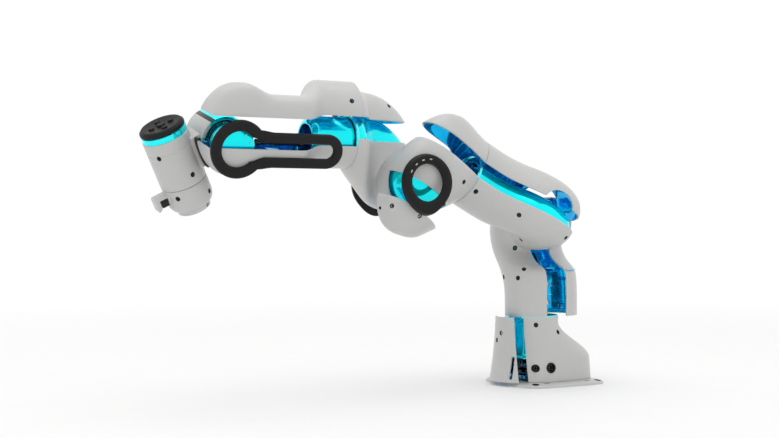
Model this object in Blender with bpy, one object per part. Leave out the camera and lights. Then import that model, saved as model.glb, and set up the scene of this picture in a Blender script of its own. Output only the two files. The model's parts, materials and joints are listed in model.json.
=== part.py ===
"""Seven-axis collaborative robot arm, opened for service.

Metres, +Z up.  The origin is the centre of the base's underside, on joint 1's axis; +X is the way
the arm reaches and +Y is its left.  Each link is modelled closed, in the frame of its own joint, and
each cover is then moved off along its opening direction.
"""

import math

import bmesh
import bpy
import numpy as np
from mathutils import Matrix, Vector

# ---- driving dimensions -------------------------------------------------------------------------
TUBE_R = 0.055          # radius of the arm's tubes
WALL = 0.003            # shell thickness
GAP = 0.0004            # clearance between pieces that meet
CORE_INSET = 0.010      # from a shell's outer face to the chassis inside it
ELBOW_CORE_INSET = 0.0075
MOTOR_R = 0.0335
SEAM_1 = 0.141          # height of the base-to-column seam
SHOULDER_Z = 0.333      # height of joint 2's axis
SEAM_3 = 0.192          # joint 2's axis to the upper arm's seam
UPPER_ARM = 0.316       # joint 2's axis to joint 4's axis, along the arm
ELBOW_X = 0.0825        # joint 4's axis to the axes of the two tubes beside it
SEAM_5 = 0.124          # joint 4's axis to the forearm's seam
FOREARM = 0.390         # joint 4's axis to joint 6's axis, along the forearm
WRIST_X = 0.088         # joint 6's axis to joint 7's axis
FLANGE_Z = -0.107       # tool flange face, along joint 7
TOOL_PCD = 0.050        # four tapped holes round a centring recess
TOOL_HOLE_R = 0.003
CENTRING_R = 0.01575
SHOULDER_LEAN = math.radians(61.5)
ELBOW_FOLD = math.radians(28.5)
FOREARM_ROLL = math.radians(-16.0)
WRIST_FOLD = math.radians(-62.0)

ELBOW_REACH = 0.84      # share of the elbow offset that the elbow links' necks bend over
UNDER_COVER_Y = 0.035   # the under cover starts this far from the joint plane
RING_NEAR, RING_FAR = 0.0975, 0.110
RING_R, RING_WINDOW_R = 0.0555, 0.036

FOOT_REAR, FOOT_FRONT, FOOT_HALF, FOOT_T = -0.137, 0.071, 0.095, 0.008
BASE_SPLIT_X = 0.044
SLENDER_Y = 0.074       # the forearm's slim part runs beside joint 6
SLENDER_HALF_X = 0.036
SLENDER_HALF_Y = 0.029
J6_END_R = 0.055
BARREL_R = 0.046        # joint 6's drive housing
BARREL_NEAR, BARREL_FAR = 0.0430, -0.046
POD_R = 0.043
POD_TOP = 0.045
SEAM_7 = -0.050
PILOT_LOW, PILOT_HIGH = 0.0574, 0.067

# push buttons: name, place on the cap, radius
PILOT_BUTTONS = (("pilot_button_up", 0.019, 0.0, 0.0050), ("pilot_button_down", -0.019, 0.0, 0.0050),
                 ("pilot_button_left", 0.0, 0.019, 0.0050), ("pilot_button_right", 0.0, -0.019, 0.0050),
                 ("pilot_centre_button", 0.0, 0.0, 0.0075))
KEY_X, KEY_Z = (0.0440, 0.0580), (-0.0735, -0.0600)   # guiding keys in the tool mount's nose
KEY_DEPTH = (0.0150, 0.0185)

# connector sockets: name, place along X, radius, how far out its face is
SOCKETS = (("network_socket", 0.030, 0.0075, 0.0585), ("power_socket", -0.003, 0.0105, 0.0665))
SOCKET_Z = 0.037

# how far each cover stands off, in its own link's frame
OPEN_BASE_FRONT = 0.024
OPEN_COLUMN_BACK = 0.050
OPEN_UPPER_BACK = 0.034
OPEN_ELBOW_BACK = 0.034
OPEN_ELBOW_UNDER = 0.050
OPEN_LINK_4_TOP = 0.042
OPEN_FOREARM_TOP = 0.058

AROUND = 18             # points round a shell
CORE_AROUND = 12
ROUND = 20              # points round a turned piece

# ---- scene, collections, materials --------------------------------------------------------------
for old in list(bpy.data.objects):
    bpy.data.objects.remove(old)

PARTS = bpy.data.collections.new("robot_arm")
CUTTERS = bpy.data.collections.new("cutters")
bpy.context.scene.collection.children.link(PARTS)
bpy.context.scene.collection.children.link(CUTTERS)
CUTTERS.hide_render = True


def material(name, colour, roughness, metallic=0.0):
    made = bpy.data.materials.new(name)
    made.use_nodes = True
    shader = made.node_tree.nodes["Principled BSDF"]
    shader.inputs["Base Color"].default_value = (*colour, 1.0)
    shader.inputs["Roughness"].default_value = roughness
    shader.inputs["Metallic"].default_value = metallic
    return made


WHITE = material("white_shell", (0.78, 0.78, 0.76), 0.35)
CYAN = material("cyan_chassis", (0.0, 0.75, 0.95), 0.2)
BLUE = material("blue_actuator", (0.0, 0.32, 0.85), 0.2, 0.6)
DARK = material("dark_trim", (0.03, 0.03, 0.03), 0.4)
STEEL = material("steel", (0.55, 0.56, 0.58), 0.25, 1.0)


# ---- helpers ------------------------------------------------------------------------------------
def add_mesh(name, mesh, frame, skin, collection=PARTS, sharp=35.0):
    made = bpy.data.objects.new(name, mesh)
    collection.objects.link(made)
    made.parent = frame
    if skin is not None:
        mesh.materials.clear()
        mesh.materials.append(skin)
    mesh.shade_smooth()
    mesh.set_sharp_from_angle(angle=math.radians(sharp))
    return made


def evaluated_mesh(obj, name):
    bpy.context.view_layer.update()
    graph = bpy.context.evaluated_depsgraph_get()
    mesh = bpy.data.meshes.new_from_object(obj.evaluated_get(graph))
    mesh.name = name
    return mesh


def frame(name, parent, location=(0, 0, 0), turn=None):
    """An empty on a joint's axis."""
    made = bpy.data.objects.new(name, None)
    PARTS.objects.link(made)
    made.parent = parent
    made.matrix_local = Matrix.Translation(location) @ (turn or Matrix.Identity(4))
    made.empty_display_size = 0.03
    return made


def finish(bm, name):
    bmesh.ops.recalc_face_normals(bm, faces=bm.faces)
    mesh = bpy.data.meshes.new(name)
    bm.to_mesh(mesh)
    bm.free()
    return mesh


def loft_mesh(name, outer, inner=None, closed_start=False, closed_end=False):
    """Skins the rings of points; with inner rings it is a shell, open at each end unless closed."""
    bm = bmesh.new()

    def skin(rings):
        rows = [[bm.verts.new(point) for point in ring] for ring in rings]
        count = len(rows[0])
        for low, high in zip(rows, rows[1:]):
            for i in range(count):
                j = (i + 1) % count
                bm.faces.new((low[i], low[j], high[j], high[i]))
        return rows

    out_rows = skin(outer)
    if inner is None:
        bm.faces.new(out_rows[0])
        bm.faces.new(out_rows[-1])
        return finish(bm, name)
    in_rows = skin(inner)
    for closed, index in ((closed_start, 0), (closed_end, -1)):
        if closed:
            bm.faces.new(out_rows[index])
            bm.faces.new(in_rows[index])
            continue
        count = len(out_rows[index])
        for i in range(count):
            j = (i + 1) % count
            a, b = out_rows[index], in_rows[index]
            bm.faces.new((a[i], a[j], b[j], b[i]))
    return finish_shell(bm, name)


def finish_shell(bm, name):
    bmesh.ops.recalc_face_normals(bm, faces=bm.faces)
    if bm.calc_volume(signed=True) < 0:
        bmesh.ops.reverse_faces(bm, faces=bm.faces)
    mesh = bpy.data.meshes.new(name)
    bm.to_mesh(mesh)
    bm.free()
    return mesh


def box_mesh(name, low, high):
    bm = bmesh.new()
    size = Vector(high) - Vector(low)
    middle = (Vector(high) + Vector(low)) / 2
    bmesh.ops.create_cube(bm, size=1.0, matrix=Matrix.Translation(middle) @ Matrix.Diagonal((*size, 1)))
    return finish(bm, name)


TURN_TO = {"Z": Matrix.Identity(4), "Y": Matrix.Rotation(math.radians(-90), 4, "X")}


def spun_mesh(name, points, closed, axis, centre, around):
    """Spins (radius, height) points about the axis: a closed profile is a ring, an open one gets flat ends."""
    bm = bmesh.new()
    corners = [bm.verts.new((radius, 0, height)) for radius, height in points]
    pairs = list(zip(corners, corners[1:]))
    if closed:
        pairs.append((corners[-1], corners[0]))
    edges = [bm.edges.new(pair) for pair in pairs]
    bmesh.ops.spin(bm, geom=corners + edges, cent=(0, 0, 0), axis=(0, 0, 1), angle=2 * math.pi,
                   steps=around, use_merge=True)
    if not closed:
        bmesh.ops.holes_fill(bm, edges=bm.edges, sides=0)
    bmesh.ops.transform(bm, matrix=Matrix.Translation(centre) @ TURN_TO[axis], verts=bm.verts)
    return finish(bm, name)


def turned_mesh(name, profile, axis="Z", centre=(0, 0, 0), around=ROUND):
    """A solid of revolution: profile is (radius, height) from the lower end to the upper one."""
    return spun_mesh(name, profile, False, axis, centre, around)


def ring_mesh(name, outer_r, inner_r, low, high, axis="Z", centre=(0, 0, 0), around=ROUND):
    """A plain tube or washer."""
    corners = ((inner_r, low), (outer_r, low), (outer_r, high), (inner_r, high))
    return spun_mesh(name, corners, True, axis, centre, around)


def with_boolean(name, mesh, cutter_mesh, operation):
    """The mesh after one boolean, worked out at once; both are in the same frame."""
    work = bpy.data.objects.new(name + "_work", mesh)
    cutter = bpy.data.objects.new(name + "_cutter", cutter_mesh)
    CUTTERS.objects.link(work)
    CUTTERS.objects.link(cutter)
    cutter.display_type = "WIRE"
    cutter.hide_render = True
    cut = work.modifiers.new("cut", "BOOLEAN")
    cut.operation = operation
    cut.solver = "EXACT"
    cut.object = cutter
    made = evaluated_mesh(work, name)
    bpy.data.objects.remove(work)
    bpy.data.objects.remove(cutter)
    return made


def slab(mesh, name, low_x=-1.0, high_x=1.0):
    """The part of the mesh between two planes across X."""
    return with_boolean(name, mesh, box_mesh(name + "_slab", (low_x, -1, -1), (high_x, 1, 1)), "INTERSECT")


def smooth_rows(rows, count):
    """Rows of control values, resampled by a Catmull-Rom curve to count rows."""
    values = np.array(rows, float)
    padded = np.vstack([2 * values[0] - values[1], values, 2 * values[-1] - values[-2]])
    found = []
    for place in np.linspace(0, len(values) - 1, count):
        k = min(int(place), len(values) - 2)
        t = place - k
        a, b, c, d = padded[k:k + 4]
        found.append(0.5 * (2 * b + (c - a) * t + (2 * a - 5 * b + 4 * c - d) * t * t
                            + (3 * b - a - 3 * c + d) * t ** 3))
    return found


# ---- link shells: a barrel round one joint that bends into the tube of the next -----------------
# Control sections: the angle of the section's plane, the pivot it turns about (side, height over the
# barrel's axis), the distances from the pivot to the inner and outer edges, the middle and half width
# across X.
def bend_rows(reach, seam_height, offset):
    """Control rows (inner side, inner height, outer side, outer height, middle x, half x)."""
    fan = (
        (0, 0.000, 0.0780, 0.0240, 0.1330, 1.00, 0.0550),
        (15, -0.004, 0.0780, 0.0240, 0.1375, 0.847, 0.0659),
        (30, -0.009, 0.0790, 0.0240, 0.1500, 0.663, 0.0807),
        (45, -0.016, 0.0810, 0.0240, 0.1630, 0.548, 0.0892),
        (60, -0.027, 0.0840, 0.0240, 0.1610, 0.462, 0.0911),
        (75, -0.045, 0.0890, 0.0240, 0.1530, 0.366, 0.0852),
    )
    rows = []
    for degrees, side, height, near, far, share, half in fan:
        across = Vector((math.sin(math.radians(degrees)), -math.cos(math.radians(degrees))))
        pivot = Vector((side, height))
        inner = pivot + across * near
        outer = pivot + across * far
        outer.x *= reach
        half_x = half if offset else TUBE_R
        rows.append((inner.x, inner.y, outer.x, outer.y, offset * share, half_x))
    neck = 0.0985
    rows.append((-0.050, neck, 0.074 * min(1.0, reach + 0.08), neck, offset * 0.17,
                 0.0695 if offset else TUBE_R))
    if seam_height > 0.15:
        rows.append((-TUBE_R, 0.135, 0.058, 0.135, 0.0, TUBE_R))
    rows.append((-TUBE_R, seam_height, TUBE_R, seam_height, 0.0, TUBE_R))
    return rows


def bend_rings(rows, inset, around, place):
    """Rings of points on the rows' ellipses, moved in by inset; place maps (x, side, height)."""
    rings = []
    for inner_s, inner_h, outer_s, outer_h, middle_x, half_x in rows:
        inner, outer = Vector((inner_s, inner_h)), Vector((outer_s, outer_h))
        middle = (inner + outer) / 2
        arm = (outer - inner) / 2
        arm *= 1 - inset / arm.length
        ring = []
        for i in range(around):
            angle = 2 * math.pi * (i + 0.5) / around
            point = middle + arm * math.cos(angle)
            ring.append(place(middle_x + (half_x - inset) * math.sin(angle), point.x, point.y))
        rings.append(ring)
    return rings


def bend_meshes(name, rows, place, inset=CORE_INSET):
    """The outer skin of a link and the chassis inside it."""
    fine = smooth_rows(rows, 11)
    skin = loft_mesh(name + "_skin", bend_rings(fine, 0.0, AROUND, place),
                     bend_rings(fine, WALL, AROUND, place))
    coarse = smooth_rows(rows, 8)
    core = loft_mesh(name + "_chassis", bend_rings(coarse, inset, CORE_AROUND, place),
                     bend_rings(coarse, inset + WALL, CORE_AROUND, place))
    return skin, core


def cover(name, mesh, parent, direction, distance, skin=WHITE):
    """A cover that stands off its link; its origin stays on the link's joint axis."""
    made = add_mesh(name, mesh, parent, skin)
    made.location = Vector(direction) * distance
    return made


# ---- frames on the joint axes -------------------------------------------------------------------
axis_1 = frame("axis_1", None)
axis_2 = frame("axis_2", axis_1, (0, 0, SHOULDER_Z), Matrix.Rotation(SHOULDER_LEAN, 4, "Y"))
axis_3 = frame("axis_3", axis_2)
axis_4 = frame("axis_4", axis_3, (ELBOW_X, 0, UPPER_ARM), Matrix.Rotation(ELBOW_FOLD, 4, "Y"))
axis_5 = frame("axis_5", axis_4, (-ELBOW_X, 0, 0), Matrix.Rotation(FOREARM_ROLL, 4, "Z"))
axis_6 = frame("axis_6", axis_5, (0, 0, FOREARM), Matrix.Rotation(WRIST_FOLD, 4, "Y"))
axis_7 = frame("axis_7", axis_6, (WRIST_X, 0, 0))
pilot = frame("pilot", axis_6, (WRIST_X, 0, 0))


# ---- base ---------------------------------------------------------------------------------------
def base_outline(z, inset):
    """The base at height z: round in front, drawn out into the connector housing behind."""
    foot = max(0.0, 1 - z / SEAM_1)
    front = TUBE_R + 0.015 * foot ** 2 - inset
    rise = min(1.0, max(0.0, (z - 0.052) / (0.128 - 0.052)))
    ease = 1 - rise * rise * (3 - 2 * rise)
    rear = TUBE_R + (0.071 + 0.008 * foot) * ease - inset
    half = TUBE_R + 0.012 * foot - inset
    power = 2.0 + 1.2 * ease
    ring = []
    for i in range(AROUND + 8):
        angle = 2 * math.pi * (i + 0.5) / (AROUND + 8)
        c, s = math.cos(angle), math.sin(angle)
        if c > 0:
            ring.append(Vector((front * c, half * s, z)))
        else:
            ring.append(Vector((rear * -abs(c) ** (2 / power),
                                half * math.copysign(abs(s) ** (2 / power), s), z)))
    return ring


def make_base():
    heights = [FOOT_T + GAP, 0.03, 0.052, 0.07, 0.085, 0.10, 0.115, 0.128, SEAM_1 - GAP]
    skin = loft_mesh("base_skin", [base_outline(z, 0.0) for z in heights],
                     [base_outline(z, WALL) for z in heights])
    rear = slab(skin, "base_rear_shell", high_x=BASE_SPLIT_X)
    for _, x, radius, _ in SOCKETS:
        hole = turned_mesh("hole", ((radius + GAP, 0.045), (radius + GAP, 0.085)), "Y", (x, 0, SOCKET_Z))
        rear = with_boolean("base_rear_shell", rear, hole, "DIFFERENCE")
    add_mesh("base_rear_shell", rear, None, WHITE)
    front = slab(skin, "base_front_cover", low_x=BASE_SPLIT_X)
    cover("base_front_cover", front, None, (1, 0, 0), OPEN_BASE_FRONT)

    plate = []
    for z in (0.0, FOOT_T):
        ring = []
        for i in range(32):
            angle = 2 * math.pi * (i + 0.5) / 32
            c, s = math.cos(angle), math.sin(angle)
            reach = (FOOT_FRONT - FOOT_REAR) / 2
            ring.append(Vector(((FOOT_FRONT + FOOT_REAR) / 2 + reach * math.copysign(abs(c) ** 0.4, c),
                                FOOT_HALF * math.copysign(abs(s) ** 0.4, s), z)))
        plate.append(ring)
    foot = loft_mesh("base_foot_plate", plate)
    for x in (-0.112, 0.046):
        for y in (-0.078, 0.078):
            bolt = turned_mesh("bolt", ((0.0045, -0.01), (0.0045, 0.02)), "Z", (x, y, 0), 12)
            foot = with_boolean("base_foot_plate", foot, bolt, "DIFFERENCE")
    add_mesh("base_foot_plate", foot, None, WHITE)

    add_mesh("base_chassis", ring_mesh("base_chassis", 0.042, 0.039, 0.052, SEAM_1 - 0.004), None, CYAN)
    add_mesh("joint_1_motor", turned_mesh("joint_1_motor", (
        (0.024, 0.056), (MOTOR_R, 0.060), (MOTOR_R, 0.118), (0.030, 0.122), (0.030, 0.130),
        (0.014, 0.132), (0.014, 0.137))), None, BLUE)
    add_mesh("control_board", box_mesh("control_board", (-0.080, -0.030, FOOT_T + GAP),
                                       (0.030, 0.030, 0.046)), None, DARK)
    for name, x, radius, face in SOCKETS:
        socket = turned_mesh(name, ((radius * 0.7, 0.036), (radius, 0.040), (radius, face)), "Y",
                             (x, 0, SOCKET_Z))
        well = turned_mesh("well", ((radius * 0.72, face - 0.008), (radius * 0.72, face + 0.01)), "Y",
                           (x, 0, SOCKET_Z), 16)
        add_mesh(name, with_boolean(name, socket, well, "DIFFERENCE"), None, DARK)


# ---- column, link 1 -----------------------------------------------------------------------------
def make_column():
    rows = bend_rows(1.0, SHOULDER_Z - SEAM_1 - GAP, 0.0)

    def place(x, side, height):
        return Vector((x, -side - GAP, SHOULDER_Z - height))

    skin, core = bend_meshes("column", rows, place)
    add_mesh("column_front_shell", slab(skin, "column_front_shell", low_x=0.0), axis_1, WHITE)
    cover("column_back_cover", slab(skin, "column_back_cover", high_x=0.0), axis_1, (-1, 0, 0),
          OPEN_COLUMN_BACK)
    add_mesh("column_chassis", core, axis_1, CYAN)
    add_mesh("joint_1_output", turned_mesh("joint_1_output", (
        (0.036, SEAM_1 + 0.002), (0.036, SEAM_1 + 0.010), (0.028, SEAM_1 + 0.012),
        (0.028, SEAM_1 + 0.018))), axis_1, STEEL)
    add_mesh("joint_2_motor", turned_mesh("joint_2_motor", (
        (0.026, -0.058), (MOTOR_R, -0.054), (MOTOR_R, -0.014), (0.028, -0.010), (0.028, -0.004)),
        "Y", (0, 0, SHOULDER_Z)), axis_1, BLUE)


# ---- upper arm, link 2 --------------------------------------------------------------------------
def make_upper_arm():
    rows = bend_rows(1.0, SEAM_3 - GAP, 0.0)

    def place(x, side, height):
        return Vector((x, side + GAP, height))

    skin, core = bend_meshes("upper_arm", rows, place)
    add_mesh("upper_arm_front_shell", slab(skin, "upper_arm_front_shell", low_x=0.0), axis_2, WHITE)
    back = slab(skin, "upper_arm_back_shell", high_x=0.0)
    notch = turned_mesh("notch", ((0.030, 0.070), (0.036, 0.150)), "Y", (0.008, 0, 0.026), 28)
    back = with_boolean("upper_arm_back_shell", back, notch, "DIFFERENCE")
    cover("upper_arm_back_shell", back, axis_2, (-1, 0, 0), OPEN_UPPER_BACK)
    add_mesh("upper_arm_chassis", core, axis_2, CYAN)
    add_mesh("joint_2_output", turned_mesh("joint_2_output", (
        (0.036, 0.002), (0.036, 0.010), (0.028, 0.012), (0.028, 0.020)), "Y"), axis_2, STEEL)
    add_mesh("joint_3_motor", turned_mesh("joint_3_motor", (
        (0.026, 0.122), (MOTOR_R, 0.126), (MOTOR_R, 0.176), (0.028, 0.180), (0.028, 0.188))),
        axis_2, BLUE)


# ---- elbow, links 3 and 4 -----------------------------------------------------------------------
def trim_ring_mesh(name, near, far, side):
    """The dark ring on a barrel's end, drawn out to a blunt point away from the tube."""
    outer, inner = [], []
    for depth, grow in ((near, 0.0), (far, -0.003)):
        out_ring, in_ring = [], []
        for i in range(ROUND):
            angle = 2 * math.pi * i / ROUND
            bulge = 0.008 * max(0.0, math.cos(angle)) ** 8
            radius = RING_R + grow + bulge
            out_ring.append(Vector((radius * math.cos(angle), side * depth, radius * math.sin(angle))))
            in_ring.append(Vector((RING_WINDOW_R * math.cos(angle), side * depth,
                                   RING_WINDOW_R * math.sin(angle))))
        outer.append(out_ring)
        inner.append(in_ring)
    return loft_mesh(name, outer, inner)


def make_elbow_upper():
    rows = bend_rows(ELBOW_REACH, UPPER_ARM - SEAM_3 - GAP, ELBOW_X)

    def place(x, side, height):
        return Vector((x, side + GAP, UPPER_ARM - height))

    skin, core = bend_meshes("elbow_upper", rows, place)
    front = slab(skin, "elbow_upper_shell", low_x=0.0)
    room = box_mesh("under_cover_room", (ELBOW_X, UNDER_COVER_Y, -1), (1, 1, 1))
    add_mesh("elbow_upper_shell", with_boolean("elbow_upper_shell", front, room, "DIFFERENCE"), axis_3, WHITE)
    cover("elbow_back_shell", slab(skin, "elbow_back_shell", high_x=0.0), axis_3, (-1, 0, 0),
          OPEN_ELBOW_BACK)
    under = with_boolean("elbow_under_cover", skin, box_mesh("under_cover_room", (
        ELBOW_X + GAP, UNDER_COVER_Y + GAP, -1), (1, 1, 1)), "INTERSECT")
    cover("elbow_under_cover", under, axis_3, (1, 0, 0), OPEN_ELBOW_UNDER)
    add_mesh("elbow_upper_chassis", core, axis_3, CYAN)
    centre = (ELBOW_X, 0, UPPER_ARM)
    ring = trim_ring_mesh("elbow_left_ring", RING_NEAR, RING_FAR, 1)
    ring.transform(Matrix.Translation(centre) @ Matrix.Rotation(ELBOW_FOLD, 4, "Y"))
    add_mesh("elbow_left_ring", ring, axis_3, DARK)
    add_mesh("joint_3_output", turned_mesh("joint_3_output", (
        (0.033, SEAM_3 + 0.002), (0.033, SEAM_3 + 0.009), (0.026, SEAM_3 + 0.011),
        (0.026, SEAM_3 + 0.014))), axis_3, STEEL)
    add_mesh("joint_4_motor", turned_mesh("joint_4_motor", (
        (0.024, 0.004), (0.024, 0.008), (0.029, 0.011), (0.029, 0.036), (0.024, 0.040)),
        "Y", centre), axis_3, BLUE)


def make_elbow_lower():
    rows = bend_rows(ELBOW_REACH, SEAM_5 - GAP, ELBOW_X)

    def place(x, side, height):
        return Vector((x - ELBOW_X, -side - GAP, height))

    skin, core = bend_meshes("elbow_lower", rows, place, ELBOW_CORE_INSET)
    add_mesh("elbow_lower_shell", slab(skin, "elbow_lower_shell", low_x=-ELBOW_X), axis_4, WHITE)
    cover("elbow_top_shell", slab(skin, "elbow_top_shell", high_x=-ELBOW_X), axis_4, (-1, 0, 0),
          OPEN_LINK_4_TOP)
    add_mesh("elbow_lower_chassis", core, axis_4, CYAN)
    add_mesh("elbow_right_ring", trim_ring_mesh("elbow_right_ring", RING_NEAR, RING_FAR, -1),
             axis_4, DARK)
    add_mesh("joint_4_output", turned_mesh("joint_4_output", (
        (0.024, -0.016), (0.024, -0.010), (0.032, -0.009), (0.032, -0.002)), "Y"), axis_4, STEEL)
    add_mesh("joint_5_motor", turned_mesh("joint_5_motor", (
        (0.024, 0.102), (0.030, 0.104), (0.030, 0.116), (0.026, 0.120)), "Z",
        (-ELBOW_X, 0, 0)), axis_4, BLUE)


# ---- forearm, link 5 ----------------------------------------------------------------------------
def ease(value, low, high):
    t = min(1.0, max(0.0, (value - low) / (high - low)))
    return t * t * (3 - 2 * t)


def forearm_outline(z, inset, around):
    """The forearm at z along its axis: a tube, then a slim arm beside it, then joint 6's round end."""
    slim = ease(z, 0.195, 0.262)
    half_x = TUBE_R + (SLENDER_HALF_X - TUBE_R) * slim
    reach = J6_END_R ** 2 - (z - FOREARM) ** 2
    if reach > 0 and z > 0.30:
        round_x = math.sqrt(reach)
        half_x = round_x if z > FOREARM else max(half_x, round_x)
    if 0.30 < z < FOREARM:
        half_x = SLENDER_HALF_X + (J6_END_R - SLENDER_HALF_X) * ease(z, 0.318, 0.378)
    half_y = TUBE_R + (SLENDER_HALF_Y - TUBE_R) * slim
    middle_y = SLENDER_Y * slim
    power = 2.0 + 0.9 * slim
    ring = []
    for i in range(around):
        angle = 2 * math.pi * (i + 0.5) / around
        c, s = math.cos(angle), math.sin(angle)
        ring.append(Vector((
            (half_x - inset) * math.copysign(abs(s) ** (2 / power), s),
            middle_y + (half_y - inset) * math.copysign(abs(c) ** (2 / power), c), z)))
    return ring


def keyhole_meshes(name, depth_low, depth_high):
    """The trim frame on the forearm's outer side: a keyhole outline with a keyhole window."""
    def outline(round_r, slim_half, end_z):
        points = []
        steps = 22
        for i in range(steps + 1):
            angle = math.radians(138) * (1 - 2 * i / steps)
            points.append((round_r * math.sin(angle), FOREARM + round_r * math.cos(angle)))
        low_z = points[-1][1]
        for t in (0.35, 0.7, 1.0):
            z = low_z - 0.030 * t
            points.append((points[steps][0] + (-slim_half - points[steps][0]) * ease(t, 0.0, 1.0), z))
        for i in range(9):
            angle = math.pi * i / 8
            points.append((-slim_half * math.cos(angle), end_z - slim_half * math.sin(angle)))
        for t in (1.0, 0.7, 0.35):
            z = low_z - 0.030 * t
            points.append((points[0][0] + (slim_half - points[0][0]) * ease(t, 0.0, 1.0), z))
        return points

    big = outline(0.053, 0.032, 0.216)
    small = outline(0.033, 0.0135, 0.216)
    outer = [[Vector((x, y, z)) for x, z in big] for y in (depth_low, depth_high)]
    inner = [[Vector((x, y, z)) for x, z in small] for y in (depth_low, depth_high)]
    return loft_mesh(name, outer, inner)


def make_forearm():
    stations = [SEAM_5 + GAP, 0.16, 0.192, 0.208, 0.224, 0.24, 0.262, 0.29, 0.318, 0.34, 0.36, 0.378,
                FOREARM]
    for degrees in (25, 45, 60, 72, 82):
        stations.append(FOREARM + J6_END_R * math.sin(math.radians(degrees)))
    outer = [forearm_outline(z, 0.0, AROUND) for z in stations]
    inner = []
    for z in stations:
        inner.append(forearm_outline(min(z, FOREARM + (z - FOREARM) * (1 - WALL / J6_END_R)), WALL, AROUND)
                     if z <= FOREARM else forearm_end_ring(z))
    skin = loft_mesh("forearm_skin", outer, inner, closed_end=True)
    add_mesh("forearm_lower_shell", slab(skin, "forearm_lower_shell", low_x=0.0), axis_5, WHITE)
    cover("forearm_top_shell", slab(skin, "forearm_top_shell", high_x=0.0), axis_5, (-1, 0, 0),
          OPEN_FOREARM_TOP)
    core_stations = [SEAM_5 + 0.003, 0.16, 0.192, 0.208, 0.222]
    core = loft_mesh("forearm_chassis", [forearm_outline(z, CORE_INSET, CORE_AROUND) for z in core_stations],
                     [forearm_outline(z, CORE_INSET + WALL, CORE_AROUND) for z in core_stations])
    add_mesh("forearm_chassis", core, axis_5, CYAN)
    add_mesh("joint_5_output", turned_mesh("joint_5_output", (
        (0.036, SEAM_5 + 0.002), (0.036, SEAM_5 + 0.010), (0.028, SEAM_5 + 0.012),
        (0.028, SEAM_5 + 0.018))), axis_5, STEEL)
    add_mesh("joint_6_motor", turned_mesh("joint_6_motor", (
        (0.026, 0.052), (0.037, 0.058), (0.037, 0.090), (0.030, 0.095)), "Y", (0, 0, FOREARM)),
        axis_5, CYAN)
    add_mesh("cable_conduit", turned_mesh("cable_conduit", (
        (0.0050, 0.250), (0.0065, 0.252), (0.0065, 0.260), (0.0045, 0.262), (0.0045, 0.336),
        (0.0065, 0.338), (0.0065, 0.346)), "Z", (-0.007, SLENDER_Y, 0), 12), axis_5, DARK)
    add_mesh("forearm_side_trim", keyhole_meshes("forearm_side_trim", 0.1035, 0.112), axis_5, DARK)


def forearm_end_ring(z):
    """The inner skin past joint 6: the round end's own curve, a wall smaller."""
    share = (z - FOREARM) / J6_END_R
    radius = J6_END_R - WALL
    half_x = radius * math.sqrt(max(0.0, 1 - share * share))
    half_y = SLENDER_HALF_Y - WALL
    power = 2.9
    ring = []
    for i in range(AROUND):
        angle = 2 * math.pi * (i + 0.5) / AROUND
        c, s = math.cos(angle), math.sin(angle)
        ring.append(Vector((half_x * math.copysign(abs(s) ** (2 / power), s),
                            SLENDER_Y + half_y * math.copysign(abs(c) ** (2 / power), c),
                            FOREARM + radius * share)))
    return ring


# ---- wrist, link 6 ------------------------------------------------------------------------------
def make_wrist():
    barrel = turned_mesh("wrist_body", ((0.034, BARREL_FAR), (BARREL_R, BARREL_FAR + 0.010),
                                        (BARREL_R, BARREL_NEAR)), "Y")
    web = box_mesh("web", (0.0, -0.030, -0.034), (WRIST_X, 0.030, 0.030))
    pod = turned_mesh("pod", ((POD_R, SEAM_7 + GAP), (POD_R, POD_TOP)), "Z", (WRIST_X, 0, 0), 32)
    body = with_boolean("wrist_body", barrel, web, "UNION")
    body = with_boolean("wrist_body", body, pod, "UNION")
    bore = turned_mesh("bore", ((POD_R - WALL, SEAM_7 - 0.01), (POD_R - WALL, POD_TOP + 0.01)), "Z",
                       (WRIST_X, 0, 0), 32)
    body = with_boolean("wrist_body", body, bore, "DIFFERENCE")
    drum = turned_mesh("drum", ((0.039, BARREL_FAR + 0.012), (0.039, BARREL_NEAR + 0.01)), "Y")
    body = with_boolean("wrist_body", body, drum, "DIFFERENCE")
    add_mesh("wrist_body", body, axis_6, WHITE)
    add_mesh("joint_6_output", turned_mesh("joint_6_output", (
        (0.030, -0.028), (0.030, 0.030), (0.036, 0.032), (0.036, 0.041)), "Y"), axis_6, STEEL)
    add_mesh("joint_7_motor", turned_mesh("joint_7_motor", (
        (0.028, SEAM_7 + 0.004), (0.028, SEAM_7 + 0.010), (0.036, SEAM_7 + 0.014), (0.036, 0.030),
        (0.030, 0.034)), "Z", (WRIST_X, 0, 0)), axis_6, BLUE)
    add_mesh("wrist_top_ring", turned_mesh("wrist_top_ring", (
        (0.036, 0.036), (0.036, POD_TOP + GAP), (POD_R - 0.001, POD_TOP + GAP),
        (POD_R - 0.001, 0.057), (0.030, 0.057)), "Z", (WRIST_X, 0, 0), 32), axis_6, CYAN)
    for name, side in (("wrist_left_trim", 1), ("wrist_right_trim", -1)):
        outline = []
        for depth in (0.0304, 0.0430):
            ring = []
            for i in range(20):
                angle = 2 * math.pi * (i + 0.5) / 20
                c, s = math.cos(angle), math.sin(angle)
                ring.append(Vector((0.0445 + 0.0065 * math.copysign(abs(c) ** 0.6, c), side * depth,
                                    -0.002 + 0.030 * math.copysign(abs(s) ** 0.75, s))))
            outline.append(ring)
        trim = loft_mesh(name, outline)
        barrel_room = turned_mesh("room", ((BARREL_R + GAP, -0.06), (BARREL_R + GAP, 0.06)), "Y",
                                  (0, 0, 0), 32)
        pod_room = turned_mesh("room", ((POD_R + GAP, -0.07), (POD_R + GAP, 0.07)), "Z",
                               (WRIST_X, 0, 0), 32)
        trim = with_boolean(name, trim, barrel_room, "DIFFERENCE")
        trim = with_boolean(name, trim, pod_room, "DIFFERENCE")
        add_mesh(name, trim, axis_6, DARK)


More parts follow.
